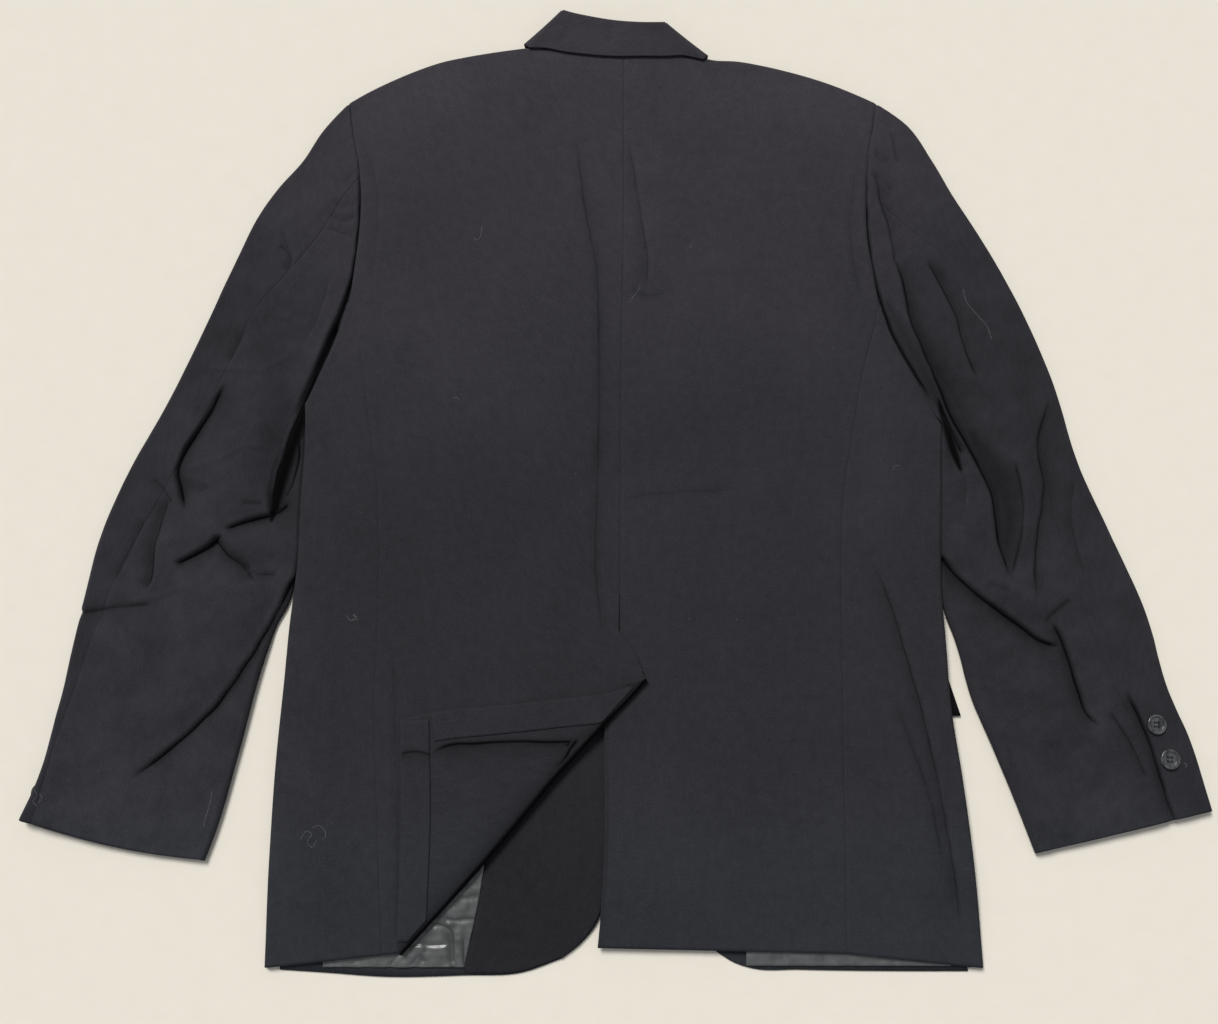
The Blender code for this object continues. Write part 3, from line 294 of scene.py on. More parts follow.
# %% [markdown]
# ## Buttons, thread and lint
# The buttons are black horn, polished until they shine, with faint streaks and fine scratches. Thread is
# two plies twisted together, so slanting lines run round it. A few pale fibres of lint lie on the wool, and
# so do the pale tacking stitches that hold the vent's facing.

# %% Make the small finishes
def horn_finish():
    finish = Finish("Black horn", {"Coat Weight": 0.35, "Coat Roughness": 0.08, "Specular IOR Level": 0.6})
    place = finish.on_jacket()
    streak = finish.noise(finish.stretched(place, 1.0, 0.2, 1.0), 420.0, 3.0)
    scratch = finish.noise(place, 2600.0, 2.0)
    light = (streak * 2.6 - 0.8).clamped()
    colour = finish.mix(light, (0.010, 0.010, 0.011, 1), (0.088, 0.092, 0.095, 1))
    return finish.shade(colour, 0.14 + scratch * 0.16, streak + scratch * 0.4, 0.03 * MM)


def thread_finish(name, colour, roughness):
    finish = Finish(name, {"Sheen Weight": 0.1, "Specular IOR Level": 0.3})
    sockets = {"Vector": finish.on_jacket(), "Scale": 1500.0, "Distortion": 2.0}
    ply = finish.node("ShaderNodeTexWave", {"bands_direction": "DIAGONAL"}, sockets)
    tone = 0.75 + ply * 0.5
    return finish.shade(finish.mix(1.0, colour, tone, "MULTIPLY"), roughness - ply * 0.1, ply, 0.04 * MM)


HORN = horn_finish()
BLACK_THREAD = thread_finish("Black thread", (0.016, 0.016, 0.019, 1), 0.7)
PALE_THREAD = thread_finish("Pale tacking thread", (0.055, 0.055, 0.062, 1), 0.8)
LINT = thread_finish("Pale lint", (0.27, 0.27, 0.28, 1), 0.9)
print("Made", HORN.name, "and three threads")

# %% [markdown]
# ## Studio
# A plain pale floor, one soft light from beyond the collar, and a pale sky to fill the shadows. Black cloth
# shows its shape only by small changes of tone, so the light comes in aslant and not from straight above.

# %% Light the floor
FLOOR_SIZE = 8.0
KEY_PLACE = (-0.45, 0.70, 1.05)
KEY_SPREAD = 24.0
KEY_STRENGTH = 2.95
KEY_COLOUR = (1.0, 0.98, 0.95)
SKY = (0.93, 0.96, 1.0, 1)
SKY_STRENGTH = 0.36


def floor_finish():
    finish = Finish("Pale floor", {"Specular IOR Level": 0.2})
    grain = finish.noise(finish.on_jacket(), 60.0, 3.0)
    colour = finish.mix(grain, (0.74, 0.698, 0.618, 1), (0.78, 0.737, 0.656, 1))
    return finish.shade(colour, 0.85 + grain * 0.1)


floor_mesh = bpy.data.meshes.new("floor")
half = FLOOR_SIZE / 2
floor_corners = [(-half, -half, 0), (half, -half, 0), (half, half, 0), (-half, half, 0)]
floor_mesh.from_pydata(floor_corners, [], [(0, 1, 2, 3)])
floor_mesh.materials.append(floor_finish())
put("floor", floor_mesh)

key = put("key_light", bpy.data.lights.new("key_light", "SUN"), KEY_PLACE)
key.data.angle = math.radians(KEY_SPREAD)
key.data.energy = KEY_STRENGTH
key.data.color = KEY_COLOUR
key.rotation_euler = (Vector((0, 0, 0)) - key.location).to_track_quat("-Z", "Y").to_euler()
world = bpy.data.worlds.new("sky")
world.use_nodes = True
background = world.node_tree.nodes["Background"]
background.inputs["Color"].default_value = SKY
background.inputs["Strength"].default_value = SKY_STRENGTH
bpy.context.scene.world = world
bpy.context.scene.view_settings.view_transform = "Standard"
print("Key light", KEY_STRENGTH, "sky", SKY_STRENGTH)

# %% [markdown]
# ## Lines
# Every seam and edge is a smooth line through a few points of a short table, in centimetres on the floor.
# A line can be walked by its length or by its height up the back. Most tables read from the hem or the cuff
# upwards, those of a shoulder or a front's hem from the outside in, and the collar's from left to right. They
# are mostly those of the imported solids; the sleeves' inner edges are laid a little closer to the body.

# %% Walk along a line
MIDDLE = np.array((-0.05, -0.54))


def follow(points, at, where):
    """Points on a cubic through rows that stand at the given places."""
    slopes = np.gradient(points, at, axis=0)
    where = np.clip(where, at[0], at[-1])
    k = np.clip(np.searchsorted(at, where, side="right") - 1, 0, len(at) - 2)
    span = (at[k + 1] - at[k])[:, None]
    t = (where - at[k])[:, None] / span
    start = (1 + 2 * t) * (1 - t) ** 2 * points[k] + t * (1 - t) ** 2 * span * slopes[k]
    end = t * t * (3 - 2 * t) * points[k + 1] - t * t * (1 - t) * span * slopes[k + 1]
    return start + end


def travelled(run):
    """The length of a run up to each of its points."""
    return np.concatenate([[0], np.cumsum(np.linalg.norm(np.diff(run, axis=0), axis=1))])


class Line:
    """A smooth line through the rows of a table: x and y in centimetres."""

    def __init__(self, *rows):
        self.points = (np.array(rows, float) - MIDDLE) * CM
        self.run = travelled(self.points)

    def by_share(self, shares):
        """Points at shares of the line's length."""
        return follow(self.points, self.run, np.asarray(shares) * self.run[-1])

    def in_steps(self, count):
        """Points at the ends of equal steps along the line."""
        return self.by_share(np.linspace(0, 1, count + 1))

    def share_at(self, height):
        """The share of the line's length at a height, in centimetres."""
        order = np.argsort(self.points[:, 1])
        return np.interp((height - MIDDLE[1]) * CM, self.points[order, 1], self.run[order] / self.run[-1])

    def by_height(self, heights):
        """Points at heights up the back, in centimetres."""
        rows = self.points[np.argsort(self.points[:, 1])]
        return follow(rows, rows[:, 1], (np.asarray(heights) - MIDDLE[1]) * CM)


def place(x, y):
    """One point of the plan, from centimetres."""
    return (np.array((x, y)) - MIDDLE) * CM


print("Lines start at", place(0, 0))

# %% [markdown]
# ## The cut of the body
# The body's outline and seams, as they lie on the floor: the side edges where the cloth turns under, the
# armholes, the side seams, the shoulders, the neck and the centre seam. Below the centre seam the vent is
# open. Its left corner is folded up and over along a slanting line, and the right back lies under it.

# %% Lay out the body
BODY_EDGE = {
    "left": Line(
        (-26.1, -39.1), (-26.1, -31.5), (-26.0, -24.2), (-25.7, -18.1), (-25.5, -13.5),
        (-25.2, -9.6), (-25.2, -4.0), (-25.1, 0.0), (-25.2, 4.0),
    ),
    "right": Line(
        (27.0, -39.1), (26.8, -34.1), (26.5, -29.2), (26.0, -23.8), (25.7, -21.2),
        (25.5, -15.0), (25.4, -11.5), (25.8, -4.0), (26.1, 2.2),
    ),
}
ARMHOLE = {
    "left": Line(
        (-25.2, 4.0), (-23.1, 8.7), (-22.0, 12.5), (-21.5, 16.5), (-21.3, 20.5),
        (-21.5, 23.6), (-22.0, 26.4), (-22.9, 30.5),
    ),
    "right": Line(
        (26.1, 2.2), (23.4, 7.2), (21.8, 11.0), (21.1, 14.8), (20.7, 18.5),
        (20.8, 22.0), (21.3, 26.4), (22.2, 30.5),
    ),
}
SIDE_SEAM = {
    "left": Line(
        (-17.4, -38.2), (-17.9, -30.7), (-18.6, -19.7), (-18.6, -12.0), (-19.1, -2.6),
        (-20.2, 4.3), (-21.1, 9.6), (-21.9, 12.45),
    ),
    "right": Line(
        (16.9, -38.1), (17.1, -26.1), (17.3, -17.1), (18.1, -2.4), (18.9, 1.7),
        (19.7, 5.9), (20.8, 9.8), (21.42, 12.25),
    ),
}
SHOULDER = {
    "left": Line(
        (-22.9, 30.5), (-21.0, 31.7), (-18.5, 33.0), (-15.1, 34.4), (-12.0, 35.1),
        (-9.0, 35.6), (-6.4, 35.95),
    ),
    "right": Line((22.2, 30.5), (19.1, 32.0), (13.9, 33.75), (10.4, 34.5), (7.9, 34.7), (6.3, 35.2)),
}
NECK = {
    "left": Line((-6.4, 35.95), (-4.4, 35.75), (0.6, 35.7)),
    "right": Line((6.3, 35.2), (3.6, 35.6), (0.6, 35.7)),
}
CENTRE_SEAM = Line((0.1, -14.4), (0.2, -9.6), (0.3, 6.5), (0.5, 15.3), (0.6, 29.1), (0.6, 35.7))
FOLD_LINE = Line((-15.9, -38.2), (-9.9, -31.7), (-4.6, -25.5), (2.3, -18.2))
VENT_TOP = Line((2.3, -18.2), (1.3, -16.0), (0.1, -14.4))
UNDERLAP = Line((-1.5, -37.7), (-1.3, -35.7), (-1.0, -30.6), (-1.0, -22.7), (-0.9, -15.4))
hem_ends = [BODY_EDGE[side].points[0, 0] for side in SIDES]
print("Body width at the hem:", round((hem_ends[1] - hem_ends[0]) / CM, 1), "cm")

# %% [markdown]
# ## The cut of the sleeves and the front
# A sleeve has a topsleeve and an undersleeve. They meet at the hindarm seam, which shows here because the
# back is up, and again underneath. The fronts lie face down: their edges curve away at the hem, and their
# lapels are rolled back under them up to the collar.

# %% Lay out the sleeves and the front
SLEEVE_OUTER = {
    "left": Line(
        (-45.1, -28.5), (-44.0, -25.6), (-43.1, -21.2), (-42.5, -16.6), (-41.8, -11.9), (-41.0, -7.1),
        (-39.4, -2.3), (-36.3, 4.4), (-33.9, 10.4), (-31.8, 16.0), (-29.2, 21.9), (-26.8, 25.0),
        (-24.5, 28.7), (-22.9, 30.5),
    ),
    "right": Line(
        (45.0, -27.9), (43.6, -21.9), (42.7, -19.5), (41.3, -12.8), (39.1, -6.7), (37.1, -1.3),
        (35.4, 6.1), (32.6, 13.8), (31.1, 17.0), (27.8, 23.1), (25.6, 27.4), (24.0, 29.4), (22.2, 30.5),
    ),
}
SLEEVE_INNER = {
    "left": Line(
        (-31.0, -31.5), (-30.4, -29.7), (-28.9, -23.4), (-27.4, -16.6), (-26.4, -13.4),
        (-25.7, -12.0), (-25.2, -9.2), (-25.1, -4.0), (-25.0, 0.0), (-25.15, 4.0),
    ),
    "right": Line(
        (31.4, -31.0), (30.1, -27.1), (28.5, -22.7), (27.3, -19.5), (26.4, -15.4),
        (25.5, -12.4), (25.5, -8.0), (25.7, -4.0), (25.9, -1.0), (26.05, 2.2),
    ),
}
HINDARM = {
    "left": Line(
        (-44.0, -28.7), (-42.9, -23.4), (-41.7, -18.4), (-40.7, -14.7), (-39.6, -11.0), (-35.6, -2.4),
        (-31.4, 7.4), (-29.4, 12.2), (-26.8, 15.4), (-24.1, 19.3), (-22.7, 21.9), (-21.5, 23.6),
    ),
    "right": Line(
        (41.7, -28.6), (39.9, -22.4), (37.6, -17.0), (36.1, -12.0), (34.9, -7.2), (34.1, -2.4),
        (33.5, 1.7), (31.8, 5.9), (29.9, 10.8), (28.1, 14.8), (25.7, 17.7), (23.3, 19.8), (20.9, 23.6),
    ),
}
FRONT_EDGE = {
    "left": Line(
        (-4.1, -38.5), (-2.9, -37.6), (-2.1, -36.8), (-1.4, -35.7), (-0.7, -33.0), (0.0, -29.5),
        (0.8, -25.5), (1.3, -21.5), (1.5, -18.0), (1.5, -10.0), (0.8, -4.0), (-0.4, 5.0),
        (-1.7, 15.0), (-3.0, 25.0), (-3.9, 30.9), (-6.2, 34.8),
    ),
    "right": Line(
        (7.4, -38.1), (6.7, -37.4), (5.8, -36.4), (5.2, -35.4), (4.1, -32.8), (3.2, -29.5),
        (2.4, -25.5), (2.0, -21.5), (1.9, -18.0), (1.9, -10.0), (2.1, -4.0), (2.45, 5.0),
        (2.8, 15.0), (3.2, 25.0), (3.6, 30.0), (6.1, 34.0),
    ),
}
FRONT_HEM = {
    "left": Line(
        (-25.0, -39.3), (-21.7, -39.5), (-17.1, -39.8), (-11.4, -39.7), (-7.1, -39.5),
        (-4.1, -38.5),
    ),
    "right": Line((25.9, -39.4), (21.2, -39.4), (13.4, -39.3), (9.9, -39.2), (8.6, -38.8), (7.4, -38.1)),
}
FACING_SEAM = Line(
    (-11.4, -39.5), (-11.1, -37.9), (-10.4, -34.6), (-10.0, -31.8), (-9.7, -26.0),
    (-9.5, -18.0),
)
CORNER_HEM = Line((-16.3, -37.2), (-16.2, -30.0), (-16.5, -21.1))
CORNER_VENT = Line((-16.5, -21.1), (-14.3, -20.6), (-8.9, -20.0), (-4.4, -19.5), (-1.0, -19.1), (1.5, -18.35))
LAPEL_EDGE = {
    "left": Line((0.9, -9.3), (-3.5, 0.5), (-8.6, 10.0), (-12.0, 18.5), (-13.4, 23.6)),
    "right": Line((2.5, -9.3), (5.4, 0.5), (8.9, 9.5), (11.6, 18.0), (12.9, 22.8)),
}
ROLL_LINE = {
    "left": Line((1.3, -9.3), (-3.75, 30.2)),
    "right": Line((2.1, -9.3), (3.45, 29.5)),
}
GORGE = {
    "left": Line((-3.75, 30.2), (-9.9, 25.5), (-13.4, 23.6)),
    "right": Line((3.45, 29.5), (9.4, 24.7), (12.9, 22.8)),
}
COLLAR_EDGE = Line((-8.0, 36.15), (-4.8, 35.2), (-1.0, 34.6), (2.0, 34.6), (5.0, 34.75), (7.9, 35.05))
COLLAR_FOLD = Line((-4.85, 38.75), (-2.3, 38.15), (-0.4, 37.8), (2.0, 37.6), (4.35, 37.6))
COLLAR_TIP = {
    "left": ((-12.6, 26.8), (-10.0, 25.85), (-7.95, 27.4), (-5.9, 28.95), (-3.75, 30.6)),
    "right": ((12.1, 26.0), (9.5, 25.05), (7.45, 26.7), (5.4, 28.3), (3.45, 29.9)),
}
FLAP_CORNERS = {
    "left": ((-24.4, -21.0), (-9.2, -21.2), (-8.9, -15.8), (-23.6, -15.6)),
    "right": ((26.45, -20.85), (11.2, -21.2), (10.6, -15.8), (24.9, -15.4)),
}
print("Left sleeve:", round(SLEEVE_OUTER["left"].run[-1] / CM, 1), "cm along its outer edge")

# %% [markdown]
# ## How high each layer lies
# Laid flat, a jacket is two layers of cloth with some air between them: about 12 mm at the chest, and less
# at the hem. The floor carries the fronts, the fronts carry the lining, and the back lies over all of them.
# Each layer's height is worked out from the one below it, so that no two layers can meet. The cloth is
# 1.4 mm thick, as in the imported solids, and its seams are closed to 0.12 mm.

# %% Work out the plain heights
CLOTH = 1.4 * MM
DOUBLE_CLOTH = 2.4 * MM
COLLAR_CLOTH = 2.0 * MM
THIN_CLOTH = 1.0 * MM
THIN_FACING = 0.6 * MM
SEAM = 0.12 * MM
ROOM = 0.5 * MM
HEM = -39.5 * CM
HEM_RISE = 8 * CM
FRONT_RAISE = 2.7 * MM
SIDE_TURN = (1.9 * MM, 2.6 * MM)
CROWN_REACH = 5 * CM
SLEEVE_TURN = 2.6 * MM
ARMHOLE_RISE = 5 * CM
CORNER_TURN = 1.6 * MM
Crown = namedtuple("Crown", "up rise")
BACK_CROWN = (
    Crown(-39, 5.2), Crown(-33, 8.5), Crown(-15, 10.5), Crown(10, 12.0), Crown(28, 12.2),
    Crown(36, 11.3),
)
SLEEVE_CROWN = (Crown(-32, 5.8), Crown(-24, 8.0), Crown(-12, 10.0), Crown(5, 11.0), Crown(25, 12.2))


def ease(share):
    """0 to 1 with a soft start and end."""
    share = np.clip(share, 0, 1)
    return share * share * (3 - 2 * share)


def between(a, b, share):
    return a + (b - a) * share


def nearest(plan, run):
    """How far each point of the plan is from a run, its share along it, and on which side: 1 is the right."""
    at = travelled(run)
    best = np.full(plan.shape[:-1], np.inf)
    share = np.zeros(plan.shape[:-1])
    hand = np.ones(plan.shape[:-1])
    for k in range(len(run) - 1):
        along = run[k + 1] - run[k]
        step = at[k + 1] - at[k]
        off = plan - run[k]
        t = np.clip(off @ along / step**2, 0, 1)
        away = np.linalg.norm(off - t[..., None] * along, axis=-1)
        closer = away < best
        share = np.where(closer, (at[k] + t * step) / at[-1], share)
        hand = np.where(closer, np.sign(off[..., 0] * along[1] - off[..., 1] * along[0]), hand)
        best = np.minimum(away, best)
    return best, share, hand


def reach_of(plan, lines, count):
    """How far each point of the plan is from the nearest of several lines."""
    return np.min([nearest(plan, line.in_steps(count - 1))[0] for line in lines], axis=0)


def crown(plan, rows):
    """The crown table's height at each point, in metres."""
    ups = [(row.up - MIDDLE[1]) * CM for row in rows]
    return np.interp(plan[..., 1], ups, [row.rise * MM for row in rows])


def above_hem(plan):
    return ease((plan[..., 1] - (HEM - MIDDLE[1] * CM)) / HEM_RISE)


def front_height(plan):
    """Middle of the fronts: on the floor at the hem, and on the lapels and flaps further up."""
    return CLOTH / 2 + FRONT_RAISE * above_hem(plan)


def lining_height(plan):
    return front_height(plan) + CLOTH / 2 + ROOM + THIN_CLOTH / 2


def side_turn(plan):
    """Radius of the half turn that carries the cloth round the body's edge."""
    return between(*SIDE_TURN, above_hem(plan))


print("The back's crown is", BACK_CROWN[-2].rise, "mm high")

# %% [markdown]
# ## Folds and creases
# The broad folds are soft swellings and hollows, already in the imported solids. On top of them come creases.
# Pressed or crushed wool folds over itself: one side of a crease rises steeply to a soft roll and the other
# falls away slowly. A height that depends on the distance to a line, and on which side of it a point lies,
# gives that section. Real creases fade at their ends and waver, so a slow seeded ripple bends each line and
# changes its depth. Sizes are read off the jacket, one row of the table for each crease. No light gets into
# the bite of a fold, so each point also keeps its distance to the nearest fold for the shader. Where cloth
# hides a whole strip from the light, as at the underarms, a pocket adds one more patch of shade.

# %% List the folds
Fold = namedtuple("Fold", "x0 y0 xm ym x1 y1 rise width")
BACK_FOLDS = (
    Fold(-3.6, 28.0, -1.7, 13.0, -1.5, -2.0, -1.3, 1.6),
    Fold(-1.5, 0.0, -1.8, -9.0, -1.1, -16.0, -1.2, 1.6),
    Fold(1.2, 27.0, 2.4, 20.0, 2.4, 12.5, 1.2, 1.6),
    Fold(22.2, -15.0, 22.8, -25.0, 25.2, -38.0, 2.2, 1.9),
    Fold(20.2, -20.0, 20.6, -29.0, 21.2, -38.0, -1.4, 1.8),
    Fold(-16.9, -14.0, -16.6, -26.0, -16.3, -39.0, 1.4, 1.8),
    Fold(-22.6, -12.0, -22.9, -24.0, -23.2, -37.0, 1.0, 2.4),
)
SLEEVE_FOLDS = {
    "left": (
        Fold(-24.6, 4.6, -26.6, 0.6, -27.6, -5.2, -5.5, 1.4),
        Fold(-27.2, 7.5, -29.6, 1.0, -30.0, -4.6, 2.0, 1.8),
        Fold(-31.6, 6.0, -33.6, 0.5, -34.3, -5.6, -3.0, 1.4),
        Fold(-26.8, -5.0, -29.4, -5.8, -32.2, -6.4, -3.0, 1.2),
        Fold(-32.4, -6.8, -29.2, -9.4, -26.0, -10.2, -2.6, 1.3),
        Fold(-31.6, -7.2, -33.2, -8.2, -35.0, -9.2, -2.4, 1.2),
        Fold(-35.4, -3.6, -36.5, -7.0, -36.6, -11.0, -2.2, 1.2),
        Fold(-42.0, -12.8, -38.0, -12.4, -33.4, -10.9, -1.8, 1.3),
        Fold(-25.2, -9.8, -29.4, -18.2, -37.2, -26.0, -2.8, 1.4),
        Fold(-24.6, -13.0, -29.0, -20.5, -34.0, -25.8, 1.6, 1.7),
    ),
    "right": (
        Fold(22.3, 24.0, 23.0, 15.5, 24.8, 9.0, -2.6, 1.3),
        Fold(24.6, 9.8, 27.7, 1.6, 31.2, -11.5, -5.0, 1.4),
        Fold(26.6, 11.5, 29.8, 2.0, 33.0, -7.0, 2.2, 1.8),
        Fold(25.6, 16.2, 27.9, 11.3, 29.5, 7.0, -2.2, 1.2),
        Fold(34.5, 3.2, 34.1, -3.0, 32.4, -12.0, -2.4, 1.3),
        Fold(25.3, -8.0, 29.2, -12.4, 34.8, -15.9, -4.6, 1.3),
        Fold(26.2, -5.6, 29.8, -10.2, 34.0, -13.6, 2.2, 1.7),
        Fold(33.8, -13.4, 35.0, -17.5, 36.6, -22.2, -2.6, 1.2),
        Fold(26.0, 2.4, 26.8, 0.2, 27.6, -2.2, -3.2, 1.2),
    ),
}


def folds_at(plan, folds):
    """The rise of every broad fold at each point, tapered at the fold's ends."""
    total = np.zeros(plan.shape[:-1])
    for fold in folds:
        line = Line((fold.x0, fold.y0), (fold.xm, fold.ym), (fold.x1, fold.y1))
        away, share, _ = nearest(plan, line.in_steps(8))
        taper = ease(share / 0.25) * ease((1 - share) / 0.25)
        total += fold.rise * MM * taper * np.exp(-((away / (fold.width * CM)) ** 2))
    return total


print("Broad folds:", len(BACK_FOLDS) + sum(len(rows) for rows in SLEEVE_FOLDS.values()))

# %% List the creases
Crease = namedtuple("Crease", "depth steep roll gentle side line")
LEFT = -1
RIGHT = 1


def crease_table(*rows):
    """Creases from rows: the first five fields of a crease, then the points of its line."""
    return [Crease(*row[:5], row[5:]) for row in rows]


BACK_CREASES = crease_table(
    (1.3, 3.4, 0.7, 9.0, RIGHT, (-3.5, 27.6), (-2.7, 21.0), (-1.7, 15.4), (-1.5, 8.8), (-1.5, 1.0),
     (-1.6, -3.4)),
    (1.0, 2.6, 0.4, 7.0, RIGHT, (-1.5, 1.6), (-1.6, -3.4), (-1.7, -9.6), (-1.1, -15.2)),
    (1.1, 2.2, 0.7, 7.0, LEFT, (1.0, 26.9), (1.9, 20.6), (2.5, 15.4), (2.3, 13.2)),
    (0.7, 1.6, 0.4, 4.0, LEFT, (1.2, 13.6), (2.3, 13.0), (3.9, 13.3)),
    (0.5, 2.2, 0.3, 4.0, RIGHT, (-0.9, 24.8), (0.3, 21.8)),
    (0.55, 2.4, 0.4, 6.0, LEFT, (0.2, -4.0), (2.6, -3.6), (5.0, -3.4), (10.2, -3.2)),
    (0.5, 1.2, 0.2, 2.0, RIGHT, (-1.2, -37.9), (-1.05, -35.7), (-0.75, -30.6), (-0.75, -22.7),
     (-0.7, -17.0)),
    (1.7, 4.0, 1.4, 14.0, LEFT, (19.4, -8.0), (21.1, -11.8), (22.4, -16.9), (23.1, -19.9), (24.0, -24.6),
     (24.9, -31.0), (25.5, -37.5)),
    (1.2, 3.0, 0.6, 7.0, RIGHT, (21.2, -19.6), (22.4, -23.4), (23.6, -27.4), (24.2, -32.0)),
    (0.5, 4.0, 0.4, 8.0, RIGHT, (-17.4, -15.1), (-16.8, -24.1), (-16.4, -31.4), (-16.2, -37.8)),
    (0.5, 3.0, 0.4, 7.0, LEFT, (-20.6, 25.8), (-19.9, 20.0), (-20.2, 14.0)),
    (0.6, 3.0, 0.4, 6.0, RIGHT, (20.0, 24.6), (19.3, 18.0), (19.9, 12.5)),
)
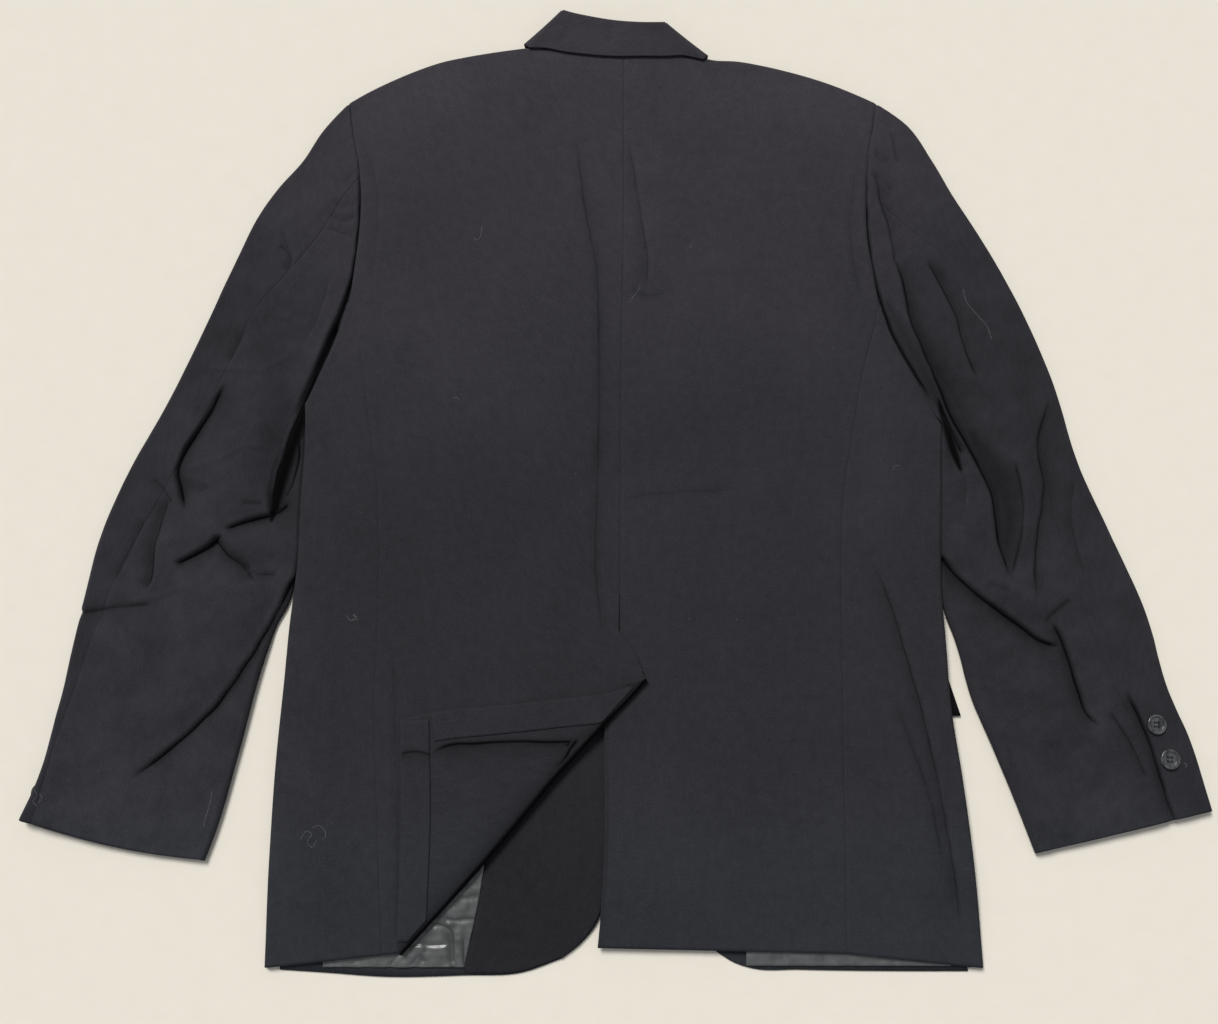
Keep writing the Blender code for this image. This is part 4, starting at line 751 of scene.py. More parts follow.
SLEEVE_CREASES = {
    "left": crease_table(
        (3.2, 1.7, 1.4, 6.0, RIGHT, (-31.6, 5.8), (-33.2, 2.6), (-35.0, -1.1), (-35.1, -2.0), (-34.7, -3.2),
         (-34.1, -5.2)),
        (-0.7, 2.0, 0.0, 2.4, RIGHT, (-34.9, -1.7), (-32.9, -1.1), (-31.4, -0.6), (-29.6, 0.3),
         (-27.3, 0.2)),
        (-0.6, 2.0, 0.0, 2.4, RIGHT, (-34.6, 6.7), (-31.5, 6.8), (-28.8, 6.6), (-26.0, 8.4)),
        (1.2, 2.4, 0.5, 5.0, LEFT, (-37.0, -2.2), (-35.9, -3.2), (-35.1, -4.4)),
        (3.6, 1.7, 1.3, 6.0, RIGHT, (-25.9, -4.0), (-26.9, -4.9), (-28.4, -5.4), (-29.7, -5.8),
         (-31.2, -6.4)),
        (3.2, 1.6, 1.2, 6.0, RIGHT, (-31.0, -6.7), (-32.0, -7.5), (-33.2, -8.3), (-34.8, -9.2)),
        (2.8, 1.9, 1.4, 8.0, LEFT, (-32.0, -6.9), (-31.3, -7.6), (-30.7, -8.4), (-29.4, -9.3),
         (-28.4, -10.6)),
        (1.2, 1.7, 0.8, 5.0, LEFT, (-29.6, -9.2), (-28.1, -9.9), (-26.6, -9.9)),
        (2.4, 1.5, 0.8, 4.5, LEFT, (-35.5, -3.8), (-36.2, -6.6), (-36.5, -8.6), (-36.5, -10.4),
         (-37.0, -11.4)),
        (1.3, 1.5, 0.5, 4.0, LEFT, (-37.3, -5.4), (-38.2, -7.8), (-39.4, -10.6)),
        (1.4, 1.6, 0.8, 5.0, LEFT, (-42.2, -13.0), (-40.0, -12.6), (-38.2, -12.4), (-36.2, -12.3)),
        (-0.7, 1.8, 0.0, 2.4, LEFT, (-38.2, -12.2), (-36.2, -11.7), (-33.7, -10.9)),
        (3.2, 1.5, 1.0, 5.0, RIGHT, (-24.6, -8.6), (-25.4, -10.2), (-26.6, -12.9), (-28.8, -16.9),
         (-31.3, -20.6), (-34.0, -23.2), (-37.2, -25.8)),
        (4.2, 1.6, 0.4, 3.0, RIGHT, (-21.5, 24.4), (-21.35, 20.4), (-21.5, 16.6), (-22.3, 12.3),
         (-23.8, 8.0)),
        (6.5, 3.0, 1.6, 6.0, RIGHT, (-22.4, 11.4), (-23.6, 8.2), (-25.2, 4.2), (-26.4, 0.9), (-27.3, -2.4),
         (-27.5, -5.6)),
        (3.2, 2.0, 0.4, 4.0, LEFT, (-25.7, 2.2), (-25.5, -0.4), (-25.9, -2.4), (-26.8, -4.2)),
        (7.0, 4.0, 0.0, 5.0, RIGHT, (-25.5, 2.8), (-26.0, 0.6), (-26.6, -1.8), (-27.2, -5.2)),
        (1.0, 1.6, 0.5, 3.0, RIGHT, (-28.0, -4.3), (-29.8, -4.2)),
        (1.0, 2.0, 0.6, 4.0, LEFT, (-30.4, 10.0), (-31.0, 8.5), (-31.4, 7.4)),
        (1.5, 1.6, 0.6, 4.0, LEFT, (-28.1, 17.5), (-27.3, 17.0), (-26.9, 15.9), (-27.3, 15.0)),
        (1.0, 1.5, 0.4, 3.0, LEFT, (-27.7, 18.8), (-27.2, 17.0)),
        (0.8, 1.8, 0.5, 3.0, RIGHT, (-23.8, 21.3), (-22.6, 20.8), (-21.5, 21.2)),
        (0.9, 1.8, 0.5, 3.0, RIGHT, (-23.9, 20.1), (-22.6, 19.6), (-21.5, 20.0)),
        (0.8, 1.8, 0.5, 3.0, RIGHT, (-24.1, 19.0), (-22.8, 18.5), (-21.6, 18.1)),
        (-0.8, 1.8, 0.0, 2.4, RIGHT, (-29.9, 12.1), (-28.4, 11.4), (-26.4, 11.0)),
        (0.7, 2.0, 0.5, 6.0, LEFT, (-23.6, 14.8), (-24.3, 11.6), (-25.6, 8.6)),
    ),
    "right": crease_table(
        (1.8, 1.8, 1.0, 5.0, RIGHT, (21.5, 24.4), (22.0, 21.6), (22.8, 18.4), (23.0, 15.4)),
        (4.6, 1.8, 1.8, 7.0, RIGHT, (22.8, 17.4), (23.7, 13.8), (24.1, 10.9), (25.0, 8.2), (26.1, 5.5),
         (27.0, 2.8), (27.9, 1.1), (28.8, -0.7), (29.9, -3.7), (30.1, -6.6), (30.4, -8.7), (30.9, -11.0)),
        (3.4, 1.4, 0.4, 3.0, LEFT, (20.9, 25.4), (20.8, 19.6), (21.1, 15.4), (21.9, 11.6), (23.1, 8.4),
         (24.6, 5.6), (26.0, 3.2)),
        (2.3, 1.7, 1.0, 5.0, RIGHT, (25.5, 16.2), (26.9, 13.6), (27.8, 11.3), (28.3, 8.2), (29.2, 5.5)),
        (1.8, 1.8, 0.8, 5.0, LEFT, (31.6, -0.6), (32.1, -3.9), (31.7, -7.6), (30.7, -10.6)),
        (2.2, 1.8, 0.9, 5.0, RIGHT, (35.2, 4.6), (34.1, 2.0), (33.7, -0.2), (34.0, -2.4), (33.3, -6.2),
         (32.8, -9.1), (32.6, -12.2)),
        (4.2, 1.5, 2.0, 7.0, LEFT, (25.0, -7.8), (26.9, -10.2), (28.5, -11.7), (30.0, -12.9), (31.6, -14.1),
         (32.9, -15.1), (34.8, -15.7)),
        (3.0, 1.6, 1.1, 6.0, LEFT, (33.6, -13.4), (34.6, -15.3), (35.0, -16.9), (35.5, -18.9),
         (36.1, -20.8), (37.0, -21.8)),
        (1.2, 2.0, 0.7, 6.0, RIGHT, (35.4, -11.9), (33.9, -13.0), (33.1, -13.9)),
        (1.6, 1.9, 0.6, 5.0, LEFT, (37.6, -20.4), (38.6, -22.0), (39.4, -23.6), (40.2, -25.8)),
        (3.2, 1.5, 0.9, 4.0, LEFT, (39.0, -18.8), (40.1, -21.3), (40.9, -24.1), (41.4, -26.4),
         (42.1, -29.2)),
        (3.4, 2.2, 0.6, 4.0, RIGHT, (25.9, 4.4), (26.6, 2.6), (27.2, 1.0), (27.8, -0.4)),
        (1.1, 2.2, 0.5, 5.0, LEFT, (27.5, -0.4), (27.8, -2.5), (27.6, -4.6)),
        (0.9, 2.0, 0.5, 5.0, LEFT, (28.9, -10.6), (30.7, -11.2)),
        (0.7, 1.7, 0.4, 3.0, RIGHT, (21.5, 25.8), (22.3, 24.8), (23.1, 25.4)),
        (0.9, 1.7, 0.4, 4.0, RIGHT, (21.0, 23.8), (22.3, 23.0), (23.1, 22.0)),
        (0.8, 1.8, 0.4, 4.0, RIGHT, (23.2, 27.8), (23.6, 24.6)),
        (0.9, 2.2, 0.5, 6.0, LEFT, (36.4, -2.0), (35.9, -6.0), (36.6, -10.4)),
        (-0.6, 2.0, 0.0, 2.4, LEFT, (26.2, 17.2), (27.6, 14.6), (29.2, 12.4)),
    ),
}
# Pockets of painted shade, where cloth hides a whole strip from the light: a width in millimetres, how dark,
# and the line down the middle.
ShadePocket = namedtuple("ShadePocket", "width dark line")
SHADE_POCKETS = {
    "left": (
        ShadePocket(6.6, 1.0, ((-25.0, 4.2), (-25.7, 1.6), (-26.4, -0.4), (-26.9, -2.4), (-27.5, -5.9))),
        ShadePocket(3.4, 0.75, ((-21.6, 15.2), (-22.6, 11.5), (-23.7, 8.3), (-25.0, 4.6))),
        ShadePocket(8.0, 0.45, ((-31.8, -6.8), (-30.7, -8.3), (-28.8, -9.3))),
        ShadePocket(6.0, 0.30, ((-35.0, -2.0), (-33.9, -2.8), (-32.4, -3.0))),
    ),
    "right": (
        ShadePocket(4.4, 0.97, ((26.0, 4.4), (26.5, 2.0), (27.0, 0.2), (27.6, -1.6))),
        ShadePocket(8.0, 0.34, ((22.0, 12.6), (23.6, 8.8), (25.0, 5.9), (26.4, 2.8))),
        ShadePocket(10.0, 0.46, ((27.6, 2.4), (29.2, 0.2), (30.6, -2.4), (31.0, -4.5), (30.8, -8.0))),
        ShadePocket(6.0, 0.26, ((26.4, -10.4), (28.9, -12.9), (31.2, -14.6), (33.6, -15.8))),
    ),
}
# Pockets of painted shade in the lining's broad wrinkles.
LINING_SHADE_POCKETS = (
    ShadePocket(3.6, 0.62, ((-13.6, -36.2), (-12.7, -36.8), (-12.4, -38.0), (-12.3, -39.6))),
    ShadePocket(3.0, 0.60, ((-15.2, -39.4), (-14.7, -38.6), (-14.2, -37.6))),
    ShadePocket(2.6, 0.50, ((-11.9, -38.6), (-11.6, -37.0), (-11.2, -35.0), (-11.0, -33.4))),
    ShadePocket(2.4, 0.50, ((-13.6, -35.9), (-12.4, -36.2), (-11.4, -35.6))),
    ShadePocket(3.0, 0.45, ((-12.0, -32.6), (-11.2, -33.4), (-10.4, -33.2))),
)
print("Creases:", len(BACK_CREASES) + sum(len(rows) for rows in SLEEVE_CREASES.values()))

# %% Work out creases and ripples
WAVER = 0.6 * MM
WAVER_LENGTH = 26 * MM
CREASE_ENDS = 0.13
DEEPEST = 2.7 * MM
FAR_OFF = 99
ROLL_REACH = 1.2
HEAVY_REACH = 6 * MM
STRONGEST = 2
STRONGEST_SOFT = 1.3
# How wide and how dark the painted shade of a fold's bite and of its open side is.
BITE_WIDTH = 0.7
BITE_GROWTH = 0.26
BITE_REACH = 3.0
BITE_FADE = 1.2
FOLD_OPEN = 4.2
SOFTEST = 0.55
BLACK_POCKET = 0.7
SHARP_EDGE = 4
SOFT_EDGE = 2
POCKET_TIP = 0.3
rng = np.random.default_rng(7)
RIPPLE_WAVES = rng.normal(size=(24, 2))
RIPPLE_PHASES = rng.uniform(0, math.tau, size=24)


def ripple(plan, length, first=0, count=6):
    """A slow seeded ripple from -1 to 1: a few waves of about one length, in several directions."""
    total = np.zeros(plan.shape[:-1])
    for k in range(first, first + count):
        way = RIPPLE_WAVES[k] / np.linalg.norm(RIPPLE_WAVES[k])
        stretch = 0.75 + 0.11 * (k % 6)
        total += np.sin(plan @ way * math.tau / (length * stretch) + RIPPLE_PHASES[k])
    return total / count


def creases_at(plan, creases):
    """The rise of every crease, and three marks for painted shade: bites to the nearest fold, its strength,
    and soft shade.
    """
    total = np.zeros(plan.shape[:-1])
    off_mark = np.full(plan.shape[:-1], FAR_OFF)
    deep_mark = np.zeros(plan.shape[:-1])
    heaviest = np.zeros(plan.shape[:-1])
    soft = np.zeros(plan.shape[:-1])
    waver = np.stack([ripple(plan, WAVER_LENGTH, 0), ripple(plan, WAVER_LENGTH, 6)], axis=-1) * WAVER
    unevenness = 0.9 + 0.4 * ripple(plan, 2 * WAVER_LENGTH, 12)
    for crease in creases:
        run = Line(*crease.line).in_steps(5 * len(crease.line) - 1)
        away, share, hand = nearest(plan + waver, run)
        off = away * hand * crease.side
        taper = ease(share / CREASE_ENDS) * ease((1 - share) / CREASE_ENDS) * unevenness
        steep = np.exp(-((off / (crease.steep * MM)) ** 2))
        slow = np.exp(-((off / (crease.gentle * MM)) ** 2))
        roll = (1 - steep) * np.exp(-np.abs(off) / (ROLL_REACH * crease.gentle * MM)) * crease.roll * MM
        rise = np.where(off >= 0, roll - crease.depth * MM * steep, -crease.depth * MM * slow)
        total += rise * taper
        strength = np.clip(taper * crease.depth * MM / DEEPEST, 0, STRONGEST)
        weight = strength * np.exp(-np.abs(off) / HEAVY_REACH)
        bites = off / ((BITE_WIDTH + BITE_GROWTH * crease.depth) * MM)
        near = ease((BITE_REACH - np.abs(bites)) / BITE_FADE)
        off_mark = np.where(weight > heaviest, bites, off_mark)
        deep_mark = np.where(weight > heaviest, strength * near, deep_mark)
        heaviest = np.maximum(weight, heaviest)
        shade = np.clip(strength, 0, STRONGEST_SOFT) * SOFTEST * np.exp(np.minimum(bites, 0) / FOLD_OPEN)
        soft = np.maximum(soft, np.where(bites < 0, shade, shade * np.exp(-(bites**2))))
    return total, np.stack([off_mark, deep_mark, soft], axis=-1)


def with_shade_pockets(marks, plan, pockets):
    """The marks with pockets of painted shade added: each is widest in its middle and runs out to a point."""
    soft = marks[..., 2]
    for pocket in pockets:
        run = Line(*pocket.line).in_steps(23)
        away, share, _ = nearest(plan, run)
        edge = SHARP_EDGE if pocket.dark > BLACK_POCKET else SOFT_EDGE
        lens = np.sqrt(np.clip(np.sin(math.pi * np.clip(share, 0, 1)), 0.01, 1))
        inside = np.exp(-((away / (pocket.width * MM * lens)) ** edge))
        soft = np.maximum(soft, pocket.dark * inside * ease(lens / POCKET_TIP))
    return np.stack([marks[..., 0], marks[..., 1], soft], axis=-1)


print("Ripples of", len(RIPPLE_PHASES), "seeded waves")

# %% [markdown]
# ## The height of the back and the sleeves
# The back is low at its outline, where it turns under, and crowned between. The left back lies over the
# right one at the top of the vent, and its corner is turned up and over on to itself. A sleeve is a flat
# tube: its lower layer lies on the floor, and its upper layer is crowned and creased.

# %% Work out the creased heights
BACK_RIPPLE = 0.30 * MM
BACK_WAVES = (52 * MM, 23 * MM)
BACK_SHORT = 0.35
SLEEVE_RIPPLE = 0.85 * MM
SLEEVE_WAVES = (41 * MM, 19 * MM)
SLEEVE_SHORT = 0.4
BACK_FADES = (3 * CM, 1.5 * CM)
SLEEVE_FADES = (1.2 * CM, 0.5 * CM)
SLEEVE_EDGE_SHARE = 0.35
OVERLAP_START = place(-4.2, -10.5)
OVERLAP_FADES = (2.8 * CM, 3.4 * CM)
BUTTON_CLEAR = 2 * CM
BUTTON_FADE = 3 * CM
FACING_ROOM = 0.1 * MM
CUFF_BUTTONS = {"left": ((-42.9, -23.2), (-43.9, -26.6)), "right": ((41.1, -21.5), (41.9, -24.1))}


def back_height(plan):
    """Middle of the back and sides: low at the outline, and crowned between, with its creases."""
    reach = reach_of(plan, [BODY_EDGE[side] for side in SIDES] + [SHOULDER[side] for side in SIDES], 15)
    edge = front_height(plan) + 2 * side_turn(plan)
    top = np.maximum(crown(plan, BACK_CROWN), edge)
    lain = between(edge, top, ease(reach / CROWN_REACH))
    lain = lain + folds_at(plan, BACK_FOLDS) * ease(reach / BACK_FADES[0])
    fine = creases_at(plan, BACK_CREASES)[0] + ripple(plan, BACK_WAVES[0], 3) * BACK_RIPPLE
    fine = fine + ripple(plan, BACK_WAVES[1], 9) * BACK_SHORT * BACK_RIPPLE
    lain = lain + fine * ease(reach / BACK_FADES[1])
    return np.maximum(lain, lining_height(plan) + THIN_CLOTH / 2 + ROOM + CLOTH / 2)


def overlap_height(plan):
    """Middle of the left back: it lies over the right back at the top of the vent."""
    near = ease((plan[..., 0] - OVERLAP_START[0]) / OVERLAP_FADES[0])
    low = ease((OVERLAP_START[1] - plan[..., 1]) / OVERLAP_FADES[1])
    return back_height(plan) + (CLOTH + ROOM) * near * low


def corner_height(plan):
    """Middle of the left back's corner, turned up and over on to the back."""
    return overlap_height(plan) + 2 * CORNER_TURN


def corner_facing_height(plan):
    return corner_height(plan) + CLOTH / 2 + FACING_ROOM + THIN_FACING / 2


def sleeve_floor(plan, side):
    """Middle of a sleeve's lower layer: level with the front at the armhole, then on the floor."""
    away = reach_of(plan, [ARMHOLE[side]], 15)
    height = CLOTH / 2 + FRONT_RAISE * (1 - ease(away / ARMHOLE_RISE))
    if side == "left":
        from_button = nearest(plan, np.array([place(*spot) for spot in CUFF_BUTTONS[side]]))[0]
        raised = 1 - ease((from_button - BUTTON_CLEAR) / BUTTON_FADE)
        height = np.maximum(height, CLOTH / 2 + FRONT_RAISE * raised)
    return height


def sleeve_height(plan, side):
    """Middle of a sleeve's upper layer, with its folds and creases."""
    reach = reach_of(plan, (SLEEVE_OUTER[side], SLEEVE_INNER[side]), 25)
    floor = sleeve_floor(plan, side)
    edge = floor + 2 * SLEEVE_TURN
    top = np.maximum(crown(plan, SLEEVE_CROWN), edge)
    lain = between(edge, top, ease(reach / CROWN_REACH))
    inside = ease(reach / SLEEVE_FADES[0])
    lain = lain + folds_at(plan, SLEEVE_FOLDS[side]) * inside
    fine = ripple(plan, SLEEVE_WAVES[0], 3) * SLEEVE_RIPPLE
    fine = fine + ripple(plan, SLEEVE_WAVES[1], 9) * SLEEVE_SHORT * SLEEVE_RIPPLE
    rise = creases_at(plan, SLEEVE_CREASES[side])[0]
    lain = lain + rise * ease(SLEEVE_EDGE_SHARE + reach / SLEEVE_FADES[1]) + fine * inside
    return np.maximum(lain, floor + CLOTH + ROOM)


print("The chest lies", round(float(back_height(place(10, 10))) / MM, 1), "mm high")

# %% [markdown]
# ## Cloth as a grid
# Each piece is a grid of points between four border runs, in the middle of the cloth. The runs bend freely,
# and a chain of runs has a corner where two of them meet. Rows crowd together beside a seam, so that the
# cloth can dip into it. A half turn carries a border round to the layer below. The grid then gets its wall
# from Solidify, a map in metres for the weave, and the marks of its folds.

# %% Build grids
TIMES = 8
TURN_STEPS = 8
NEAR_SEAM = ((0.035, 0.07, 0.11, 0.17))


def steps_of(count, times, near=()):
    """Places along a run of count steps: each step is cut in parts, with a few more near both ends."""
    places = [*np.linspace(0, count, count * times + 1), *near, *[count - n for n in near]]
    return np.unique(np.round(places, 5))


def sample(places, *parts):
    """Points at places along a chain of runs, counted in the runs' own points."""
    found = []
    first = 0
    for n, part in enumerate(parts):
        last = first + len(part) - 1
        mine = places[(places >= first) & (places <= last if n == len(parts) - 1 else places < last)]
        at = travelled(part)
        found.append(follow(part, at, np.interp(mine - first, np.arange(len(part)), at)))
        first = last
    return np.concatenate(found)


def unit(ways):
    return ways / np.linalg.norm(ways, axis=-1, keepdims=True)


def turned_ways(places, ways):
    """The ways out at places along a run, between the ways given at its points."""
    at = np.arange(len(ways))
    return unit(np.stack([np.interp(places, at, ways[:, axis]) for axis in (0, 1)], axis=1))


def patch(start, left, end, right, across, along):
    """A grid between four runs: start and end go from left to right, left and right go along."""
    u = (across / across[-1])[:, None, None]
    v = (along / along[-1])[None, :, None]
    sides = (1 - u) * left[None] + u * right[None]
    ends = (1 - v) * start[:, None] + v * end[:, None]
    low = (1 - u) * start[0] + u * start[-1]
    high = (1 - u) * end[0] + u * end[-1]
    return sides + ends - (1 - v) * low - v * high


def open_seam(grid, start=0.0, left=0.0, right=0.0):
    """Moves a grid's borders inwards, to leave room along its seams."""
    grid = grid.copy()
    for axis, index, inner, amount in ((0, 0, 1, left), (0, -1, -2, right), (1, 0, 1, start)):
        border = grid[index] if axis == 0 else grid[:, index]
        inside = grid[inner] if axis == 0 else grid[:, inner]
        border += unit(inside - border + 1e-12) * amount
    return grid


def towards(start, end, distance):
    return start + unit(end - start) * distance


def outward(run, sign):
    """Unit normals of a run of points, to its right where the sign is +1."""
    along = unit(np.gradient(run, axis=0))
    return sign * np.stack([along[:, 1], -along[:, 0]], axis=1)


def lifted(plan, height):
    return np.concatenate([plan, np.broadcast_to(height, plan.shape[:-1])[..., None]], axis=-1)


def half_turn(base, out, top, radius, tail=0.0, steps=TURN_STEPS, reach=None):
    """Runs of points that carry an edge round a half turn to the layer below, and on under it."""
    runs = []
    radius = np.broadcast_to(radius, top.shape)
    reach = radius if reach is None else reach
    for k in range(1, steps + 1):
        angle = math.pi * k / steps
        plan = base + out * (reach * math.sin(angle))[:, None]
        runs.append(lifted(plan, top - radius * (1 - math.cos(angle))))
    if tail:
        runs.append(lifted(base - out * tail, top - 2 * radius))
    return np.stack(runs)


def in_full(part, along, first=0):
    """A grid that holds a part of itself, with absent points on both sides of it."""
    whole = np.full((len(part), along, 3), np.nan)
    whole[:, first : first + part.shape[1]] = part
    return whole


print("Each step of a packed solid's grid becomes", TIMES)

# %% Sew a dip along a seam
SEAM_DIP = 0.3 * MM
ARMHOLE_DIP = 0.95 * MM
SEAM_WIDTH = 1.3 * MM
ALLOWANCE = 11 * MM
ALLOWANCE_RISE = 0.10 * MM


def seam_dip(away, depth=SEAM_DIP):
    """How far the cloth dips beside a seam, less the faint ridge that its pressed-open allowance prints."""
    dip = depth * np.exp(-((away / SEAM_WIDTH) ** 2))
    return dip - ALLOWANCE_RISE * np.exp(-(((away - ALLOWANCE) / (1.2 * MM)) ** 2))


def away_from(plan, row):
    """How far each point of a grid is from the grid's border row, walking straight across."""
    return np.linalg.norm(plan - plan[row][None], axis=-1)


print("Seams dip by", SEAM_DIP / MM, "mm")

# %% Name the fields of a flat cut
Cut = namedtuple("Cut", "width length area rests_on")

# %% Turn a grid into cloth
def cloth_map(points):
    """Distances across and along the cloth at each point, in metres, as a flat map of it."""
    whole = np.where(np.isnan(points), 0, points)
    maps = []
    for axis in (0, 1):
        steps = np.nan_to_num(np.linalg.norm(np.diff(points, axis=axis), axis=-1))
        pad = [(1, 0), (0, 0)] if axis == 0 else [(0, 0), (1, 0)]
        maps.append(np.pad(np.cumsum(steps, axis=axis), pad))
    offset = whole[:1, :, 0].mean(), whole[:, :1, 1].mean()
    return np.stack([maps[0] + offset[0], maps[1] + offset[1]], axis=-1)


def mark(mesh, name, values):
    mesh.attributes.new(name, "FLOAT", "POINT").data.foreach_set("value", values.astype(np.float32))


def sheet_mesh(name, points, finish, folds=None):
    """The grid's faces, where all four corners are present, with the cloth map and the marks."""
    present = ~np.isnan(points[..., 0])
    index = np.cumsum(present.ravel()).reshape(present.shape) - 1
    whole = present[:-1, :-1] & present[1:, :-1] & present[1:, 1:] & present[:-1, 1:]
    faces = np.stack([index[:-1, :-1], index[1:, :-1], index[1:, 1:], index[:-1, 1:]], axis=-1)[whole]
    mesh = bpy.data.meshes.new(name)
    mesh.from_pydata(points[present].tolist(), [], faces.tolist())
    mesh.shade_smooth()
    mesh.materials.append(finish)
    flat = cloth_map(points)[present]
    corners = np.zeros(len(mesh.loops), int)
    mesh.loops.foreach_get("vertex_index", corners)
    mesh.uv_layers.new(name="cloth").data.foreach_set("uv", flat[corners].ravel())
    folds = np.zeros((*points.shape[:2], 3)) if folds is None else folds
    for k, called in enumerate(FOLD_MARKS):
        mark(mesh, called, folds[..., k][present])
    return mesh


def dress(name, points, wall=CLOTH, finish=WOOL, folds=None):
    """A finished piece of cloth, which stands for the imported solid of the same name."""
    made = put(name + "_cloth", sheet_mesh(name, points, finish, folds))
    wall_of = made.modifiers.new("Wall", "SOLIDIFY")
    wall_of.thickness = wall
    wall_of.offset = 0
    wall_of.use_rim = True
    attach(made, "root")
    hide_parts(name)
    print(f"{made.name}: {len(made.data.polygons)} faces before its wall")
    return made


print("Cloth is ready to cut")

# %% [markdown]
# ## Shared borders
# Neighbours share their seams, so each border run is worked out once and used by both pieces. The rows of
# the back start at the hem, pass the top of the vent, the underarm and the top of the side panel, and end
# at the tip of the shoulder.

# %% Work out the border runs
FOLD_STEPS = 10
VENT_STEPS = 2
WAIST_STEPS = 7
ARMHOLE_LOW_STEPS = 4
ARMHOLE_MID_STEPS = 4
ARMHOLE_TOP_STEPS = 3
SHOULDER_STEPS = 8
NECK_STEPS = 3
SLEEVE_HEAD_STEPS = 7
SLEEVE_STEPS = 20
Level = namedtuple("Level", "underarm side_top hindarm tip")
LEVELS = {"left": Level(4.0, 12.5, 23.6, 30.5), "right": Level(2.2, 12.3, 23.6, 30.5)}
UNDERARM = np.array([BODY_EDGE[side].points[-1] for side in SIDES])
UNDERARM_INSET = 0.9 * MM
UNDERARM_TAPER = 4 * CM
UNDERARM_STEP = 0.9 * MM
UNDERARM_LIFT = 12 * MM
UNDERARM_LIFT_TAPER = 3 * UNDERARM_TAPER
TIP_LEVEL = -18.2
VENT_LEVEL = -14.4
UNDERARM_ROW = FOLD_STEPS + VENT_STEPS + WAIST_STEPS
SIDE_TOP_ROW = UNDERARM_ROW + ARMHOLE_LOW_STEPS
TIP_ROW = SIDE_TOP_ROW + ARMHOLE_MID_STEPS + ARMHOLE_TOP_STEPS


def levels(start, *stretches):
    """Heights from a start, through stretches of an end and a number of steps."""
    heights = [start]
    for end, steps in stretches:
        heights.extend(np.linspace(heights[-1], end, steps + 1)[1:])
    return np.array(heights)


def heights_up(side):
    """Heights of the back's rows from the top of the vent to the tip of the shoulder."""
    level = LEVELS[side]
    return levels(
        VENT_LEVEL,
        (level.underarm, WAIST_STEPS),
        (level.side_top, ARMHOLE_LOW_STEPS),
        (level.hindarm, ARMHOLE_MID_STEPS),
        (level.tip, ARMHOLE_TOP_STEPS),
    )


def from_hem(line, side, last):
    """Points up a line from its own hem end, on the back's rows, to the last of them."""
    start = line.points[:, 1].min() / CM + MIDDLE[1]
    low = levels(start, (TIP_LEVEL, FOLD_STEPS), (VENT_LEVEL, VENT_STEPS))
    return line.by_height(np.concatenate([low, heights_up(side)[1:]])[: last + 1])


def tip_out(side):
    """The way out at the tip of the shoulder, halfway between the shoulder's and the sleeve's."""
    shoulder = outward(SHOULDER[side].by_share((0, 0.05)), OUT[side])[0]
    sleeve = outward(SLEEVE_OUTER[side].by_share((0.95, 1)), OUT[side])[-1]
    return unit(shoulder + sleeve)


def shoulder_base(side):
    """The shoulder's line, inside its half turn, and the way out from it."""
    run = SHOULDER[side].in_steps(SHOULDER_STEPS)
    out = outward(run, OUT[side])
    out[0] = tip_out(side)
    return run - out * (SIDE_TURN[1] + CLOTH / 2), out


def turn_start(run, inset):
    """How far inside an edge its half turn starts: hardly at all at the underarm, to leave no gap there."""
    away = np.linalg.norm(run - UNDERARM[0 if run[0, 0] < 0 else 1], axis=1)
    return between(UNDERARM_INSET, inset, ease(away / UNDERARM_TAPER))


def edge_base(side):
    """The body's edge inside its half turn, the way out from it, and the half turn's reach."""
    run = from_hem(BODY_EDGE[side], side, UNDERARM_ROW)
    out = outward(run, OUT[side])
    inset = turn_start(run, side_turn(run) + CLOTH / 2)
    return run - out * inset[:, None], out, inset - CLOTH / 2


def armhole_rows(side):
    """The armhole's points on the back's rows, from the underarm to inside the shoulder's tip."""
    run = ARMHOLE[side].by_height(heights_up(side)[WAIST_STEPS:])
    run[-1] = shoulder_base(side)[0][0]
    return run


print("The back has", TIP_ROW, "steps up to the shoulder's tip")

# %% [markdown]
# ## The two backs
# Each back runs from its side seam to the centre seam, up to the neck, and rolls over the shoulder to meet
# the front. The left back is the piece with the lifted corner: its grid goes on past the fold line, round
# a tight half turn, and back over itself, so the cloth is one unbroken sheet there.

# %% Cut the backs
UNDER_TAIL = 8 * MM
TIP_ROOM = 0.1 * MM
CORNER_ACROSS = 44
CORNER_SHADE = 6.0
CORNER_DARK = (0.62, 0.38)
CORNER_RELIEF = 0.4
CORNER_DEEPEST = 0.9 * MM
CLEAR_OF_FOLD = 3 * MM
CORNER_CREASES = crease_table(
    (3.2, 1.6, 0.4, 3.0, LEFT, (-14.4, -23.9), (-13.3, -23.2), (-10.6, -22.9), (-7.0, -22.75),
     (-4.4, -22.8), (-2.4, -22.7)),
    (3.6, 2.0, 0.3, 4.0, RIGHT, (-2.9, -22.4), (-3.5, -23.2), (-4.1, -24.2), (-5.2, -25.6)),
)
BACK_ALONG = steps_of(TIP_ROW, TIMES)
BACK_ACROSS = steps_of(SHOULDER_STEPS + NECK_STEPS, TIMES, NEAR_SEAM)


def row_at(places, step):
    """The index of a whole step among the places."""
    return int(np.searchsorted(places, step - 1e-9))


